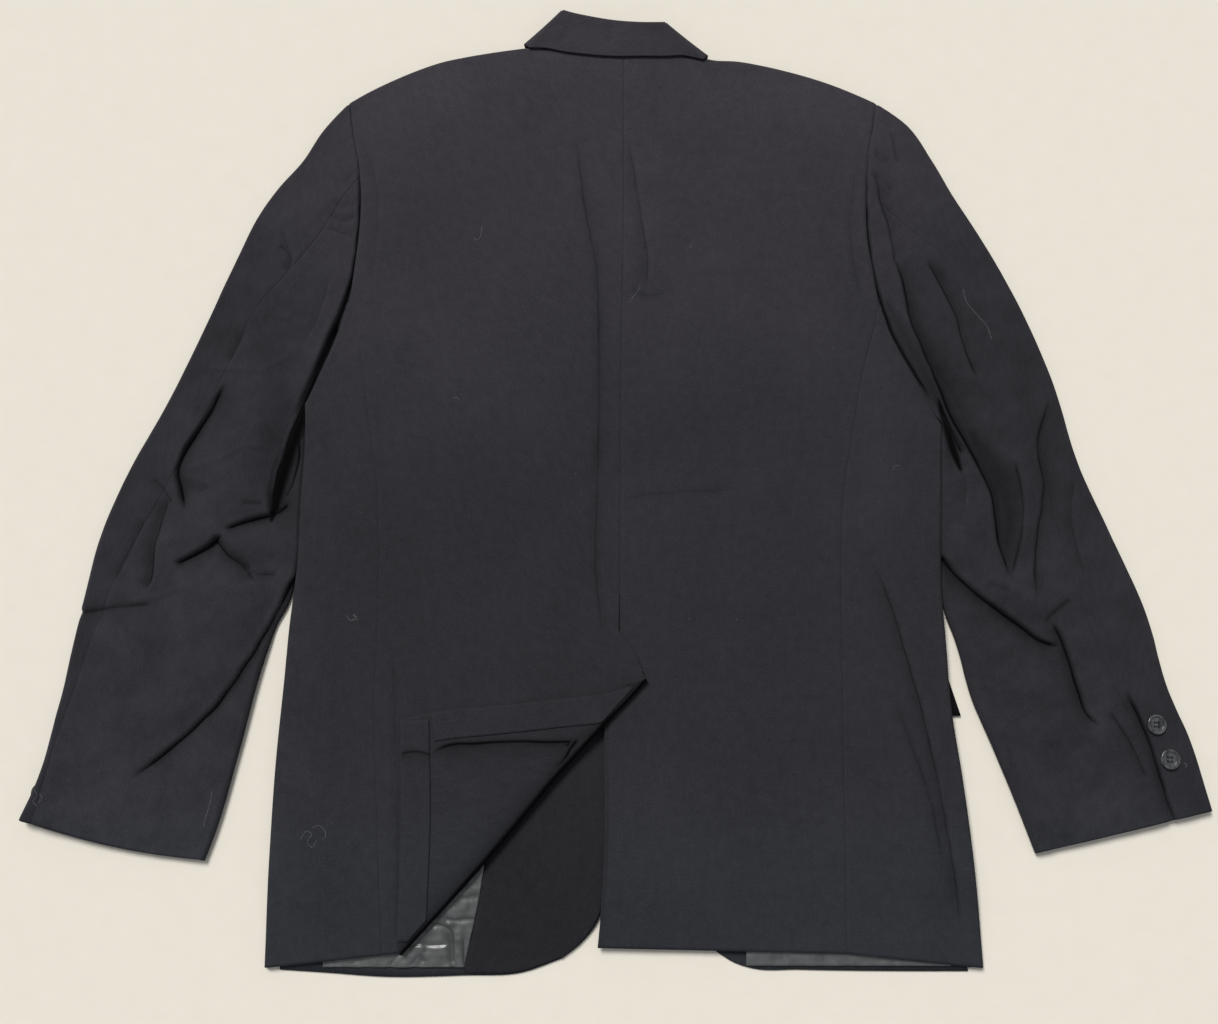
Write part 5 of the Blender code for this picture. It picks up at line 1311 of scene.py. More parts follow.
def corner_plan(base, along):
    """The turned-up corner's grid, from the fold to its outer border: the hem, then the vent's edge."""
    half = np.linspace(0, 1, FOLD_STEPS // 2 + 1)
    outline = sample(along, CORNER_HEM.by_share(half), CORNER_VENT.by_share(half))
    return between(base[None], outline[None], np.linspace(0, 1, CORNER_ACROSS + 1)[:, None, None])


def turned_corner(inner, out, width):
    """The grid that goes on from the left back's fold, round a half turn and over the back."""
    fold_end = row_at(BACK_ALONG, FOLD_STEPS) + 1
    base = inner[:fold_end]
    turn = half_turn(base, np.tile(out, (fold_end, 1)), overlap_height(base), -CORNER_TURN)
    turn[:, :, :2] = 2 * base - turn[:, :, :2]
    flat = corner_plan(base, BACK_ALONG[:fold_end])[1:]
    rise = creases_at(flat, CORNER_CREASES)[0] * CORNER_RELIEF
    height = corner_height(flat) + np.maximum(rise, -CORNER_DEEPEST)
    return in_full(np.concatenate([turn, lifted(flat, height)]), width)


def corner_folds(points, fold):
    """Marks of painted shade on the turned corner: black on its fold, and darker beside it."""
    plan = np.nan_to_num(points[..., :2])
    away, _, hand = nearest(plan, fold[: row_at(BACK_ALONG, FOLD_STEPS) + 1])
    beyond = away * hand / MM + 0.5 * ripple(plan, 45 * MM, 6)
    soft = CORNER_DARK[0] * np.exp(np.minimum(beyond, 0) / CORNER_SHADE)
    soft = soft + CORNER_DARK[1] * ease(beyond + 0.8)
    second = creases_at(plan, CORNER_CREASES)[1]
    second[..., 1] *= away > CLEAR_OF_FOLD
    second[..., 2] = np.maximum(second[..., 2] * (away > CLEAR_OF_FOLD), soft)
    return second


def inner_border(side):
    """The back's inner border as a chain: the fold or the underlap, then the centre seam."""
    upper = levels(VENT_LEVEL, (LEVELS[side].underarm, WAIST_STEPS), (35.7, TIP_ROW - UNDERARM_ROW))
    centre = CENTRE_SEAM.by_height(upper)
    if side == "right":
        lap = UNDERLAP.by_height(levels(-37.7, (-15.4, FOLD_STEPS + VENT_STEPS - 1)))
        return None, (np.concatenate([lap, centre[:1]]), centre)
    fold = FOLD_LINE.in_steps(FOLD_STEPS)
    out = outward(fold, 1)[FOLD_STEPS // 2]
    fold = fold - out * (CORNER_TURN + CLOTH / 2)
    vent = VENT_TOP.in_steps(VENT_STEPS)[1:-1]
    return out, (fold, np.concatenate([fold[-1:], vent, centre[:1]]), centre)


def back(side):
    """A back, from its side seam to the centre, rolled over the shoulder to meet the front."""
    seam = from_hem(SIDE_SEAM[side], side, SIDE_TOP_ROW)
    armhole = np.concatenate([seam[-1:], armhole_rows(side)[ARMHOLE_LOW_STEPS + 1 :]])
    outer = sample(BACK_ALONG, seam, armhole)
    fold_out, chain = inner_border(side)
    inner = sample(BACK_ALONG, *chain)
    shoulder, out = shoulder_base(side)
    neck = np.concatenate([shoulder[-1:], NECK[side].in_steps(NECK_STEPS)[1:]])
    top = sample(BACK_ACROSS, shoulder, neck)
    hem = between(outer[0], inner[0], (BACK_ACROSS / BACK_ACROSS[-1])[:, None])
    plan = open_seam(patch(hem, outer, top, inner, BACK_ACROSS, BACK_ALONG), left=SEAM / 2, right=SEAM / 2)
    plan[0, -1] = towards(plan[0, -1], plan[1, -1], TIP_ROOM)
    height = overlap_height(plan) if side == "left" else back_height(plan)
    outer_dip = np.where(BACK_ALONG > SIDE_TOP_ROW, ARMHOLE_DIP, SEAM_DIP)[None]
    inner_dip = seam_dip(away_from(plan, -1)) * (BACK_ALONG > FOLD_STEPS + VENT_STEPS)[None]
    height = height - seam_dip(away_from(plan, 0), outer_dip) - inner_dip
    last = row_at(BACK_ACROSS, SHOULDER_STEPS) + 1
    ways = turned_ways(BACK_ACROSS[:last], out)
    roll = half_turn(plan[:last, -1], ways, height[:last, -1], SIDE_TURN[1], UNDER_TAIL)
    over = np.swapaxes(in_full(roll, len(plan)), 0, 1)
    points = np.concatenate([lifted(plan, height), over], axis=1)
    if side == "left":
        points = np.concatenate([points, turned_corner(plan[-1], fold_out, points.shape[1])])
    folds = creases_at(np.nan_to_num(points[..., :2]), BACK_CREASES)[1]
    if side == "left":
        folds[len(plan) :] = corner_folds(points[len(plan) :], plan[-1])
    return dress("back_" + side, points, folds=folds)


for side in SIDES:
    back(side)

# %% [markdown]
# ## Side panels
# A side panel fills the space under the arm. It runs from the side seam round the body's edge and a little
# way under, where it meets the front. At the top it narrows to a point between the seam and the armhole.

# %% Cut the side panels
SIDE_ACROSS = 6


def side_panel(side):
    """A side panel, from the side seam round the body's edge to the front."""
    along = steps_of(SIDE_TOP_ROW, TIMES)
    across = steps_of(SIDE_ACROSS, TIMES // 2 + 1, NEAR_SEAM)
    seam = sample(along, from_hem(SIDE_SEAM[side], side, SIDE_TOP_ROW))
    base, out, reach = edge_base(side)
    armhole = armhole_rows(side)[: ARMHOLE_LOW_STEPS + 1]
    armhole[0] = base[-1]
    outer = sample(along, base, armhole)
    share = (across / across[-1])[:, None]
    hem, top = between(seam[0], outer[0], share), between(seam[-1], outer[-1], share)
    plan = patch(hem, seam, top, outer, across, along)
    plan = open_seam(plan, left=SEAM / 2)
    last = row_at(along, UNDERARM_ROW) + 1
    plan[-1, last:] -= (OUT[side] * SEAM / 2, 0)
    height = back_height(plan) - seam_dip(away_from(plan, 0))
    height = height - seam_dip(away_from(plan, -1), np.where(along >= UNDERARM_ROW, ARMHOLE_DIP, 0)[None])
    base = plan[-1, :last]
    top = height[-1, :last]
    ways = turned_ways(along[:last], out)
    reach = np.interp(along[:last], np.arange(len(reach)), reach)
    roll = half_turn(base, ways, top, (top - front_height(base)) / 2, UNDER_TAIL, reach=reach)
    points = np.concatenate([lifted(plan, height), in_full(roll, plan.shape[1])])
    folds = creases_at(np.nan_to_num(points[..., :2]), BACK_CREASES)[1]
    return dress("side_" + side, points, folds=folds)


for side in SIDES:
    side_panel(side)

# %% [markdown]
# ## Fronts
# The fronts lie face down on the floor, on their lapels and pocket flaps. Only their hem and the rounded
# lower corner beside the vent show from above. Each is one flat sheet with slight waves from lying there.

# %% Cut the fronts
UNDER_ROOM = 0.8 * MM
FRONT_TIMES = 5
FRONT_ROWS = (0, 2, 4, 6, 8, 10, 12, 14, 16, 19)
FRONT_EDGE_ROWS = (-37.5, -36.3, -34.5, -31.5, -27.0, -22.0, -16.0, -8.0, 0.0)
FRONT_WAVE = 0.12 * MM


def front_armhole(side):
    """The armhole on the fronts' layer, from the underarm to under the shoulder's tip."""
    level = LEVELS[side]
    heights = levels(level.underarm, (level.side_top, 3), (level.hindarm, 2), (level.tip, 3))
    run = ARMHOLE[side].by_height(heights)
    run[-1] = shoulder_base(side)[0][0]
    return run


def front(side):
    """A front, from the side panel's edge to the front edge and the lapel's roll line."""
    base, out, _ = edge_base(side)
    under = (base - out * (UNDER_TAIL + UNDER_ROOM))[list(FRONT_ROWS)]
    low = np.concatenate([FRONT_HEM[side].points[:1], under[1:]])
    high = np.concatenate([low[-1:], front_armhole(side)[1:]])
    shoulder, way = shoulder_base(side)
    upper = shoulder - way * (UNDER_TAIL + SEAM)
    high[-1] = upper[0]
    edge = FRONT_EDGE[side]
    start, top = (edge.points[k, 1] / CM + MIDDLE[1] for k in (0, -1))
    inner = edge.by_height(levels(start, *[(up, 1) for up in FRONT_EDGE_ROWS], (top, len(high) - 1)))
    inner[-1] = upper[-1]
    along = steps_of(len(inner) - 1, FRONT_TIMES)
    across = steps_of(SHOULDER_STEPS, FRONT_TIMES)
    hem = FRONT_HEM[side].by_share(across / across[-1])
    plan = patch(hem, sample(along, low, high), sample(across, upper), sample(along, inner), across, along)
    plan = open_seam(plan, left=SEAM / 2)
    height = front_height(plan) + np.maximum(ripple(plan, 60 * MM, 12), 0) * FRONT_WAVE * above_hem(plan)
    return dress("front_" + side, lifted(plan, height))


for side in SIDES:
    front(side)

# %% [markdown]
# ## Sleeves
# The topsleeve starts at the hindarm seam, crosses to the outer edge, turns under, and comes back across
# the floor. The undersleeve covers the rest of the top and turns under at the inner edge. Its border climbs
# to the body's near the underarm, because a gap would let the pale floor show there. Their upper layers hold
# most of the jacket's creases, so these grids are the finest, about two millimetres to a step.

# %% Work out the sleeve's borders
UNDERSLEEVE_ACROSS = 8
SLEEVE_TIMES = 13
Beside = namedtuple("Beside", "hindarm outer")
BESIDE_UNDERARM = {"left": Beside(7.5, 11.0), "right": Beside(6.0, 9.5)}
CUFF_SAG = {"left": 5 * MM, "right": 0.5 * MM}
SLIT_DIP = 0.2 * MM
SLIT_TOP = {"left": -23.5, "right": -22.2}


def sleeve_rows(line, height):
    """Points down a line, from the armhole to its point beside the underarm, and on to the cuff."""
    at = line.share_at(height)
    head = np.linspace(1, at, SLEEVE_HEAD_STEPS + 1)
    return line.by_share(np.concatenate([head, np.linspace(at, 0, SLEEVE_STEPS + 1)[1:]]))


def sleeve_outer(side):
    """The sleeve's outer edge inside its half turn, and the way out from it."""
    run = sleeve_rows(SLEEVE_OUTER[side], BESIDE_UNDERARM[side].outer)
    out = outward(run, -OUT[side])
    out[0] = tip_out(side)
    base = run - out * (SLEEVE_TURN + CLOTH / 2)
    base[0] = shoulder_base(side)[0][0]
    return base, out


def sleeve_inner(side):
    """The sleeve's inner edge inside its half turn, the way out from it, and the half turn's reach."""
    run = SLEEVE_INNER[side].by_share(np.linspace(1, 0, SLEEVE_STEPS + 1))
    out = outward(run, OUT[side])
    inset = turn_start(run, SLEEVE_TURN + CLOTH / 2)
    return run - out * inset[:, None], out, inset - CLOTH / 2


def cuff(side, start, end, shares):
    """The cuff's edge, lowered towards its middle."""
    points = between(start, end, shares[:, None])
    outer, inner = SLEEVE_OUTER[side].points, SLEEVE_INNER[side].points
    share = np.clip((points[:, 0] - outer[0, 0]) / (inner[0, 0] - outer[0, 0]), 0, 1)
    return points - np.stack([0 * share, CUFF_SAG[side] * 4 * share * (1 - share)], axis=1)


def hindarm_seam(side):
    seam = sleeve_rows(HINDARM[side], BESIDE_UNDERARM[side].hindarm)
    seam[0] = armhole_rows(side)[ARMHOLE_LOW_STEPS + ARMHOLE_MID_STEPS]
    return seam


def sleeve_patch(side, start, left, right, across, along):
    """A sleeve grid whose far end is the cuff."""
    end = cuff(side, left[-1], right[-1], across / across[-1])
    left, right = left.copy(), right.copy()
    left[-1], right[-1] = end[0], end[-1]
    return patch(start, left, end, right, across, along)


def open_armhole(plan, rows):
    """Leaves room at the armhole part of a sleeve grid's far border."""
    plan = plan.copy()
    plan[-1, :rows] = towards(plan[-1, :rows], plan[-2, :rows], SEAM / 2)
    return plan


def hindarm_dip(plan, side):
    """The dip along the hindarm seam, deeper where it is left open above the cuff."""
    slit = ease((place(0, SLIT_TOP[side])[1] - plan[0, :, 1]) / (0.8 * CM))
    return seam_dip(away_from(plan, 0), SEAM_DIP + SLIT_DIP * slit[None])


print("Sleeve creases:", {side: len(SLEEVE_CREASES[side]) for side in SIDES})

# %% Cut the topsleeves
def topsleeve(side):
    """The outer sleeve piece: from the hindarm seam round the outer edge and across underneath."""
    along = steps_of(SLEEVE_HEAD_STEPS + SLEEVE_STEPS, SLEEVE_TIMES)
    across = steps_of(ARMHOLE_TOP_STEPS, 20, NEAR_SEAM[:2])
    base, out = sleeve_outer(side)
    armhole = armhole_rows(side)[ARMHOLE_LOW_STEPS + ARMHOLE_MID_STEPS :]
    seam = sample(along, hindarm_seam(side))
    plan = sleeve_patch(side, sample(across, armhole), seam, sample(along, base), across, along)
    plan = open_seam(plan, start=SEAM / 2, left=SEAM / 2)
    plan[-1, 0] = towards(plan[-1, 0], plan[-1, 1], TIP_ROOM)
    height = sleeve_height(plan, side) - hindarm_dip(plan, side)
    height = height - seam_dip(np.linalg.norm(plan - plan[:, :1], axis=-1), ARMHOLE_DIP)
    base = plan[-1]
    top = height[-1]
    turn = half_turn(base, turned_ways(along, out), top, (top - sleeve_floor(base, side)) / 2)
    inner, inner_out, _ = sleeve_inner(side)
    forearm = inner - inner_out * (UNDER_TAIL + SEAM)
    head = np.concatenate([front_armhole(side)[SLEEVE_HEAD_STEPS:0:-1], forearm[:1]])
    far = sample(along, head, forearm)
    lower_across = steps_of(UNDERSLEEVE_ACROSS, 2)
    start = between(base[0], far[0], (lower_across / lower_across[-1])[:, None])
    under = sleeve_patch(side, start, base, far, lower_across, along)
    under[0] = base
    under = open_armhole(open_seam(under, start=SEAM / 2), row_at(along, SLEEVE_HEAD_STEPS))[1:]
    lower = lifted(under, sleeve_floor(under, side))
    points = np.concatenate([lifted(plan, height), turn, lower])
    folds = with_shade_pockets(creases_at(plan, SLEEVE_CREASES[side])[1], plan, SHADE_POCKETS[side])
    folds = np.concatenate([folds, np.zeros((len(points) - len(plan), *folds.shape[1:]))])
    return dress("topsleeve_" + side, points, folds=folds)


for side in SIDES:
    topsleeve(side)

# %% Cut the undersleeves
def meet_body(plan, height, side):
    """The undersleeve's height, with its border lifted towards the body's, so that no floor shows there."""
    away = np.linalg.norm(plan[-1] - UNDERARM[SIDES.index(side)], axis=1)
    short = np.maximum(back_height(plan[-1]) - ARMHOLE_DIP - UNDERARM_STEP - height[-1], 0)
    short = short * (1 - ease(away / UNDERARM_LIFT_TAPER))
    return height + short[None] * np.exp(-((away_from(plan, -1) / UNDERARM_LIFT) ** 2))


def undersleeve(side):
    """The inner sleeve piece: from the hindarm seam across the top and round the inner edge."""
    along = steps_of(SLEEVE_HEAD_STEPS + SLEEVE_STEPS, SLEEVE_TIMES)
    across = steps_of(UNDERSLEEVE_ACROSS, 10, NEAR_SEAM[:2])
    inner, out, reach = sleeve_inner(side)
    head = np.concatenate([armhole_rows(side)[SLEEVE_HEAD_STEPS:0:-1], inner[:1]])
    seam = sample(along, hindarm_seam(side))
    far = sample(along, head, inner)
    start = between(seam[0], far[0], (across / across[-1])[:, None])
    first = row_at(along, SLEEVE_HEAD_STEPS)
    plan = sleeve_patch(side, start, seam, far, across, along)
    plan = open_armhole(open_seam(plan, start=SEAM / 2, left=SEAM / 2), first)
    height = sleeve_height(plan, side) - hindarm_dip(plan, side)
    at_armhole = 1 - ease((along - SLEEVE_HEAD_STEPS + 0.5) / 0.5)
    height = height - seam_dip(away_from(plan, -1), ARMHOLE_DIP) * at_armhole[None]
    height = np.maximum(meet_body(plan, height, side), sleeve_floor(plan, side) + CLOTH + ROOM)
    base = plan[-1, first:]
    top = height[-1, first:]
    ways = turned_ways(along[first:] - along[first], out)
    reach = np.interp(along[first:] - along[first], np.arange(len(reach)), reach)
    turn = half_turn(base, ways, top, (top - sleeve_floor(base, side)) / 2, UNDER_TAIL, reach=reach)
    points = np.concatenate([lifted(plan, height), in_full(turn, plan.shape[1], first)])
    marked = np.nan_to_num(points[..., :2])
    folds = with_shade_pockets(creases_at(marked, SLEEVE_CREASES[side])[1], marked, SHADE_POCKETS[side])
    return dress("undersleeve_" + side, points, folds=folds)


for side in SIDES:
    undersleeve(side)

# %% [markdown]
# ## Collar
# The collar's fall folds over the back along a crease. Its free edge lies close on the back, so only a thin
# dark line shows below it. At the sides of the neck it turns down and round to the front, where its points
# lie on the floor. The stand is the hidden strip between the neck seam and the fold.

# %% Cut the collar and its stand
COLLAR_ROWS = 5
COLLAR_ACROSS = 11
COLLAR_RISE = (14 * MM, 18 * MM)
COLLAR_REACH = (6.5 * MM, 2.2 * MM)
COLLAR_FRONT_STEPS = 4
COLLAR_ROOM = 0.4 * MM
COLLAR_FOLD_TURN = 1.6 * MM
COLLAR_TAIL = 3 * MM
COLLAR_SPANS = ((0.04, 0.96), (0.03, 0.97))
COLLAR_WAVE = 0.5 * MM
COLLAR_DEEPEST = 0.7 * MM
STAND_ROOM = 1.4 * MM
COLLAR_ALONG = steps_of(COLLAR_ROWS - 1, 2 * TIMES)
COLLAR_OVER = steps_of(COLLAR_ACROSS - 1, TIMES)
COLLAR_CREASES = crease_table(
    (0.8, 1.8, 0.4, 5.0, LEFT, (-0.35, 37.9), (-0.3, 36.6), (-0.45, 35.4)),
    (0.5, 3.0, 0.3, 6.0, RIGHT, (-3.9, 38.2), (-4.4, 36.6), (-5.2, 35.6)),
    (0.4, 3.0, 0.3, 6.0, LEFT, (3.4, 37.3), (3.9, 36.2), (4.2, 35.1)),
)


def collar_grid():
    """The collar's plan over the back: from the free edge to the fold, between its two slopes."""
    share = np.linspace(0, 1, COLLAR_ROWS)
    reach = between(*COLLAR_REACH, share)
    bases, outs = [], []
    for side, end in (("left", 0), ("right", -1)):
        slope = between(COLLAR_EDGE.points[end], COLLAR_FOLD.points[end], share[:, None])
        out = outward(slope, OUT[side])
        bases.append(slope - out * (reach + COLLAR_CLOTH / 2)[:, None])
        outs.append(out)
    across = np.linspace(0, 1, COLLAR_ACROSS)
    edge = COLLAR_EDGE.by_share(between(*COLLAR_SPANS[0], across))
    fold = COLLAR_FOLD.by_share(between(*COLLAR_SPANS[1], across)) - (0, COLLAR_FOLD_TURN + COLLAR_CLOTH / 2)
    edge[0], edge[-1] = bases[0][0], bases[1][0]
    fold[0], fold[-1] = bases[0][-1], bases[1][-1]
    bases = [sample(COLLAR_ALONG, base) for base in bases]
    edge, fold = sample(COLLAR_OVER, edge), sample(COLLAR_OVER, fold)
    plan = patch(edge, bases[0], fold, bases[1], COLLAR_OVER, COLLAR_ALONG)
    return plan, [turned_ways(COLLAR_ALONG, out) for out in outs]


def collar_rise(plan):
    """The collar's height: it climbs from its free edge, close over the back, to its creased fold."""
    share = COLLAR_ALONG / COLLAR_ALONG[-1]
    rise = np.broadcast_to(between(*COLLAR_RISE, share), plan.shape[:2])
    ends = np.minimum(COLLAR_OVER, COLLAR_OVER[-1] - COLLAR_OVER)
    inside = ease(ends / 1.5)[:, None] * ease((1 - share) / 0.25)[None]
    fine = creases_at(plan, COLLAR_CREASES)[0] + COLLAR_WAVE * ripple(plan, 34 * MM, 6)
    rise = rise + np.maximum(fine, -COLLAR_DEEPEST) * inside
    room = rise[:, :1] - back_height(plan[:, :1]) - (COLLAR_CLOTH + CLOTH) / 2
    return rise - np.maximum(room - COLLAR_ROOM, 0) * (1 - share)[None]


def collar():
    """The collar's fall, folded over the back and carried round the neck to its front tips."""
    plan, outs = collar_grid()
    rise = collar_rise(plan)
    middle = lifted(plan, rise)
    under = half_turn(plan[:, -1], outward(plan[:, -1], -1), rise[:, -1], COLLAR_FOLD_TURN, COLLAR_TAIL)
    under[-1, (COLLAR_OVER < 1) | (COLLAR_OVER > COLLAR_OVER[-1] - 1)] = np.nan
    middle = np.concatenate([middle, np.swapaxes(under, 0, 1)], axis=1)
    reach = between(*COLLAR_REACH, COLLAR_ALONG / COLLAR_ALONG[-1])
    parts = []
    for side, end, out in (("left", 0, outs[0]), ("right", -1, outs[1])):
        base = plan[end]
        radius = (rise[end] - COLLAR_CLOTH / 2) / 2
        turn = half_turn(base, out, rise[end], radius, steps=2 * TURN_STEPS, reach=reach)
        tip = sample(COLLAR_ALONG, (np.array(COLLAR_TIP[side]) - MIDDLE) * CM)
        share = np.linspace(0, 1, COLLAR_FRONT_STEPS * TIMES + 1)[1:, None, None]
        flat = between(base[None], tip[None], share)
        parts.append(in_full(np.concatenate([turn, lifted(flat, COLLAR_CLOTH / 2)]), middle.shape[1]))
    points = np.concatenate([parts[0][::-1], middle, parts[1]])
    return dress("collar", points, COLLAR_CLOTH)


def collar_stand():
    """The stand, from the neck seam up to the collar's fold, under the fall."""
    plan, _ = collar_grid()
    inside = (COLLAR_OVER >= 1) & (COLLAR_OVER <= COLLAR_OVER[-1] - 1)
    fold = plan[inside, -1]
    top = fold - outward(fold, -1) * (COLLAR_TAIL + STAND_ROOM)
    half_way = np.linspace(0, 1, len(fold) // 2 + 1)
    neck = np.concatenate([NECK["left"].by_share(half_way), NECK["right"].by_share(1 - half_way)[1:]])
    neck = neck + (0, 2 * SEAM)
    share = np.linspace(0, 1, 9)[None, :, None]
    stand = between(neck[:, None], top[:, None], share)
    foot = back_height(neck)[:, None]
    height = between(foot, COLLAR_RISE[1] - 2 * COLLAR_FOLD_TURN, share[..., 0])
    return dress("collar_stand", lifted(stand, height))


collar()
collar_stand()

# %% [markdown]
# ## Lapels and pocket flaps
# These lie under the fronts, on the floor, so only the right flap's end shows past the body's edge. They are
# two layers of cloth sewn together and turned out, so their edges are thicker and softly rounded.

# %% Cut the lapels and flaps
NOTCH = 0.64


def lapel(side):
    """A lapel, rolled back under the front, between its roll line, its edge and the gorge."""
    places = steps_of(10, TIMES)
    roll = ROLL_LINE[side].by_share(places / places[-1])
    edge = LAPEL_EDGE[side].by_share(places / places[-1])
    across = steps_of(6, TIMES // 2)
    share = across / across[-1]
    gorge = [np.interp(share, (0, NOTCH, 1), GORGE[side].points[:, axis]) for axis in (0, 1)]
    gorge = np.stack(gorge, axis=1)
    start = between(roll[0], edge[0], share[:, None])
    plan = patch(start, roll, gorge, edge, across, places)
    dress("lapel_" + side, lifted(plan, DOUBLE_CLOTH / 2), DOUBLE_CLOTH)


def pocket_flap(side):
    corners = [place(*corner) for corner in FLAP_CORNERS[side]]
    across = steps_of(6, TIMES // 2)
    along = steps_of(3, TIMES // 2)
    u = (across / across[-1])[:, None]
    v = (along / along[-1])[:, None]
    plan = patch(
        between(corners[0], corners[1], u),
        between(corners[0], corners[3], v),
        between(corners[3], corners[2], u),
        between(corners[1], corners[2], v),
        across,
        along,
    )
    # The flaps get their almost black wool as painted shade.
    dress("pocket_flap_" + side, lifted(plan, DOUBLE_CLOTH / 2), DOUBLE_CLOTH, SHADED_FLAP_WOOL)


for side in SIDES:
    lapel(side)
    pocket_flap(side)

# %% [markdown]
# ## Inside the open vent
# Where the corner is folded up, the jacket's inside shows: the left front's facing, and the lining beside
# it, loose and wrinkled and bright with sheen. The lining also peeps out along both hems.

# %% Cut the facing and the linings
FACING_HEM = (-39.4, (0.66, 1.0))
SET_BACK = 1.2 * MM
FACING_ROWS = (-37.4, -35.5, -33.5, -31.0, -28.0, -25.0, -21.5, -18.0)
LINING_ROWS = (-39.1, -37.6, -36.0, -34.0, -31.5, -29.0)
LINING_OUTER = -21.8
RIGHT_LINING = ((9.5, 24.6), (-39.0, -37.8, -36.2, -34.5))
LINING_WRINKLES = crease_table(
    (1.0, 1.2, 0.6, 3.0, LEFT, (-13.0, -35.5), (-12.1, -35.7), (-11.3, -35.6), (-10.2, -35.7)),
    (0.8, 1.2, 0.6, 4.0, LEFT, (-12.4, -33.9), (-11.2, -34.1), (-10.3, -33.8)),
    (1.3, 1.1, 0.8, 3.0, LEFT, (-14.3, -35.9), (-13.0, -36.1), (-12.35, -36.5), (-12.2, -37.6),
     (-12.0, -39.0)),
    (1.0, 1.1, 0.6, 3.0, RIGHT, (-15.2, -37.5), (-14.0, -37.55), (-12.6, -37.5)),
    (1.1, 1.1, 0.7, 3.0, RIGHT, (-11.5, -36.9), (-11.45, -38.0), (-11.3, -39.2)),
    (1.0, 1.2, 0.6, 3.0, RIGHT, (-16.9, -39.0), (-16.2, -38.0), (-15.7, -37.2)),
    (0.9, 1.2, 0.6, 3.0, LEFT, (-15.3, -39.0), (-14.7, -38.3), (-14.2, -38.8)),
    (0.4, 1.4, 0.4, 5.0, RIGHT, (-21.0, -38.9), (-20.6, -37.0), (-19.9, -35.6)),
    (0.4, 1.4, 0.4, 5.0, RIGHT, (15.2, -38.9), (15.0, -37.4), (15.6, -35.8)),
    (0.4, 1.4, 0.4, 5.0, LEFT, (19.2, -38.9), (19.5, -37.4), (18.8, -35.8)),
)
# How much stronger the lining's painted fold shade is than the wool's, mark by mark.
LINING_MARKS = (1, 2.2, 1.6)
WRINKLE_ROOM = 0.4 * MM
BARE_RISE = 0.5 * MM
BARE_ROOM = 1.1 * MM


def wrinkled(plan):
    """The lining's height with its wrinkles, which stand freely where the folded corner leaves it bare."""
    away, _, hand = nearest(plan, FOLD_LINE.in_steps(19))
    bare = ease(away * hand / (6 * MM))
    fine = creases_at(plan, LINING_WRINKLES)[0] + 0.8 * MM * ripple(plan, 15 * MM, 6)
    fine = fine + 0.35 * MM * ripple(plan, 7 * MM, 14)
    rise = np.clip(fine + BARE_RISE * bare, -WRINKLE_ROOM, WRINKLE_ROOM + BARE_ROOM * bare)
    return lining_height(plan) + rise


def facing_left():
    """The lower end of the left front's facing, which the open vent shows."""
    edge = FRONT_EDGE["left"]
    heights = levels(edge.points[0, 1] / CM + MIDDLE[1], *[(up, 1) for up in FACING_ROWS])
    right = edge.by_height(heights) - (SET_BACK, 0)
    left = FACING_SEAM.by_height(levels(FACING_HEM[0], *[(up, 1) for up in FACING_ROWS])) + (SEAM, 0)
    along = steps_of(len(FACING_ROWS), TIMES)
    across = steps_of(6, TIMES)
    share = across / across[-1]
    hem = FRONT_HEM["left"].by_share(between(*FACING_HEM[1], share)) + (0, SET_BACK)
    hem[0], hem[-1] = left[0], right[0]
    end = between(left[-1], right[-1], share[:, None])
    plan = patch(hem, sample(along, left), end, sample(along, right), across, along)
    dress("facing_left", lifted(plan, lining_height(plan)), THIN_CLOTH, FACING)


def lining(side, plan):
    """A lining's visible end, whose folds get stronger painted shade than the wool's, and pockets of painted
    shade.
    """
    folds = with_shade_pockets(creases_at(plan, LINING_WRINKLES)[1] * LINING_MARKS, plan, LINING_SHADE_POCKETS)
    dress("lining_" + side, lifted(plan, wrinkled(plan)), THIN_CLOTH, SATIN, folds)


def lining_left():
    places = steps_of(len(LINING_ROWS) - 1, 2 * TIMES)
    seam = sample(places, FACING_SEAM.by_height(LINING_ROWS) - (SEAM / 2, 0))
    outer = np.stack([np.full(len(seam), place(LINING_OUTER, 0)[0]), seam[:, 1]], axis=1)
    lining("left", between(outer[None], seam[None], np.linspace(0, 1, 12 * TIMES)[:, None, None]))


def lining_right():
    (start, end), heights = RIGHT_LINING
    up = np.linspace(heights[0], heights[-1], 3 * TIMES)
    lining("right", np.array([[place(x, y) for y in up] for x in np.linspace(start, end, 12 * TIMES)]))


facing_left()
lining_left()
lining_right()

# %% [markdown]
# ## Facings on the lifted corner
# The wrong side of the folded corner shows two strips: the hem's turn-up, with a join across it, and the
# vent's facing along the edge. They are thin, so each is a separate sheet laid just above the corner.

# %% Cut the corner's facings
FACING_WIDTH = 2.2 * CM
FACING_EDGE = 1 * MM
VENT_FACING_START = (-14.2, -20.6)
VENT_FACING_END = 0.975
FOLD_SLOPE = 1.1
HEM_JOIN = crease_table((2.0, 1.2, 0.4, 3.0, LEFT, (-16.9, -23.9), (-15.4, -23.5), (-13.6, -23.9)))
JOIN_SINK = 0.15 * MM
JOIN_RISE = 0.4 * MM


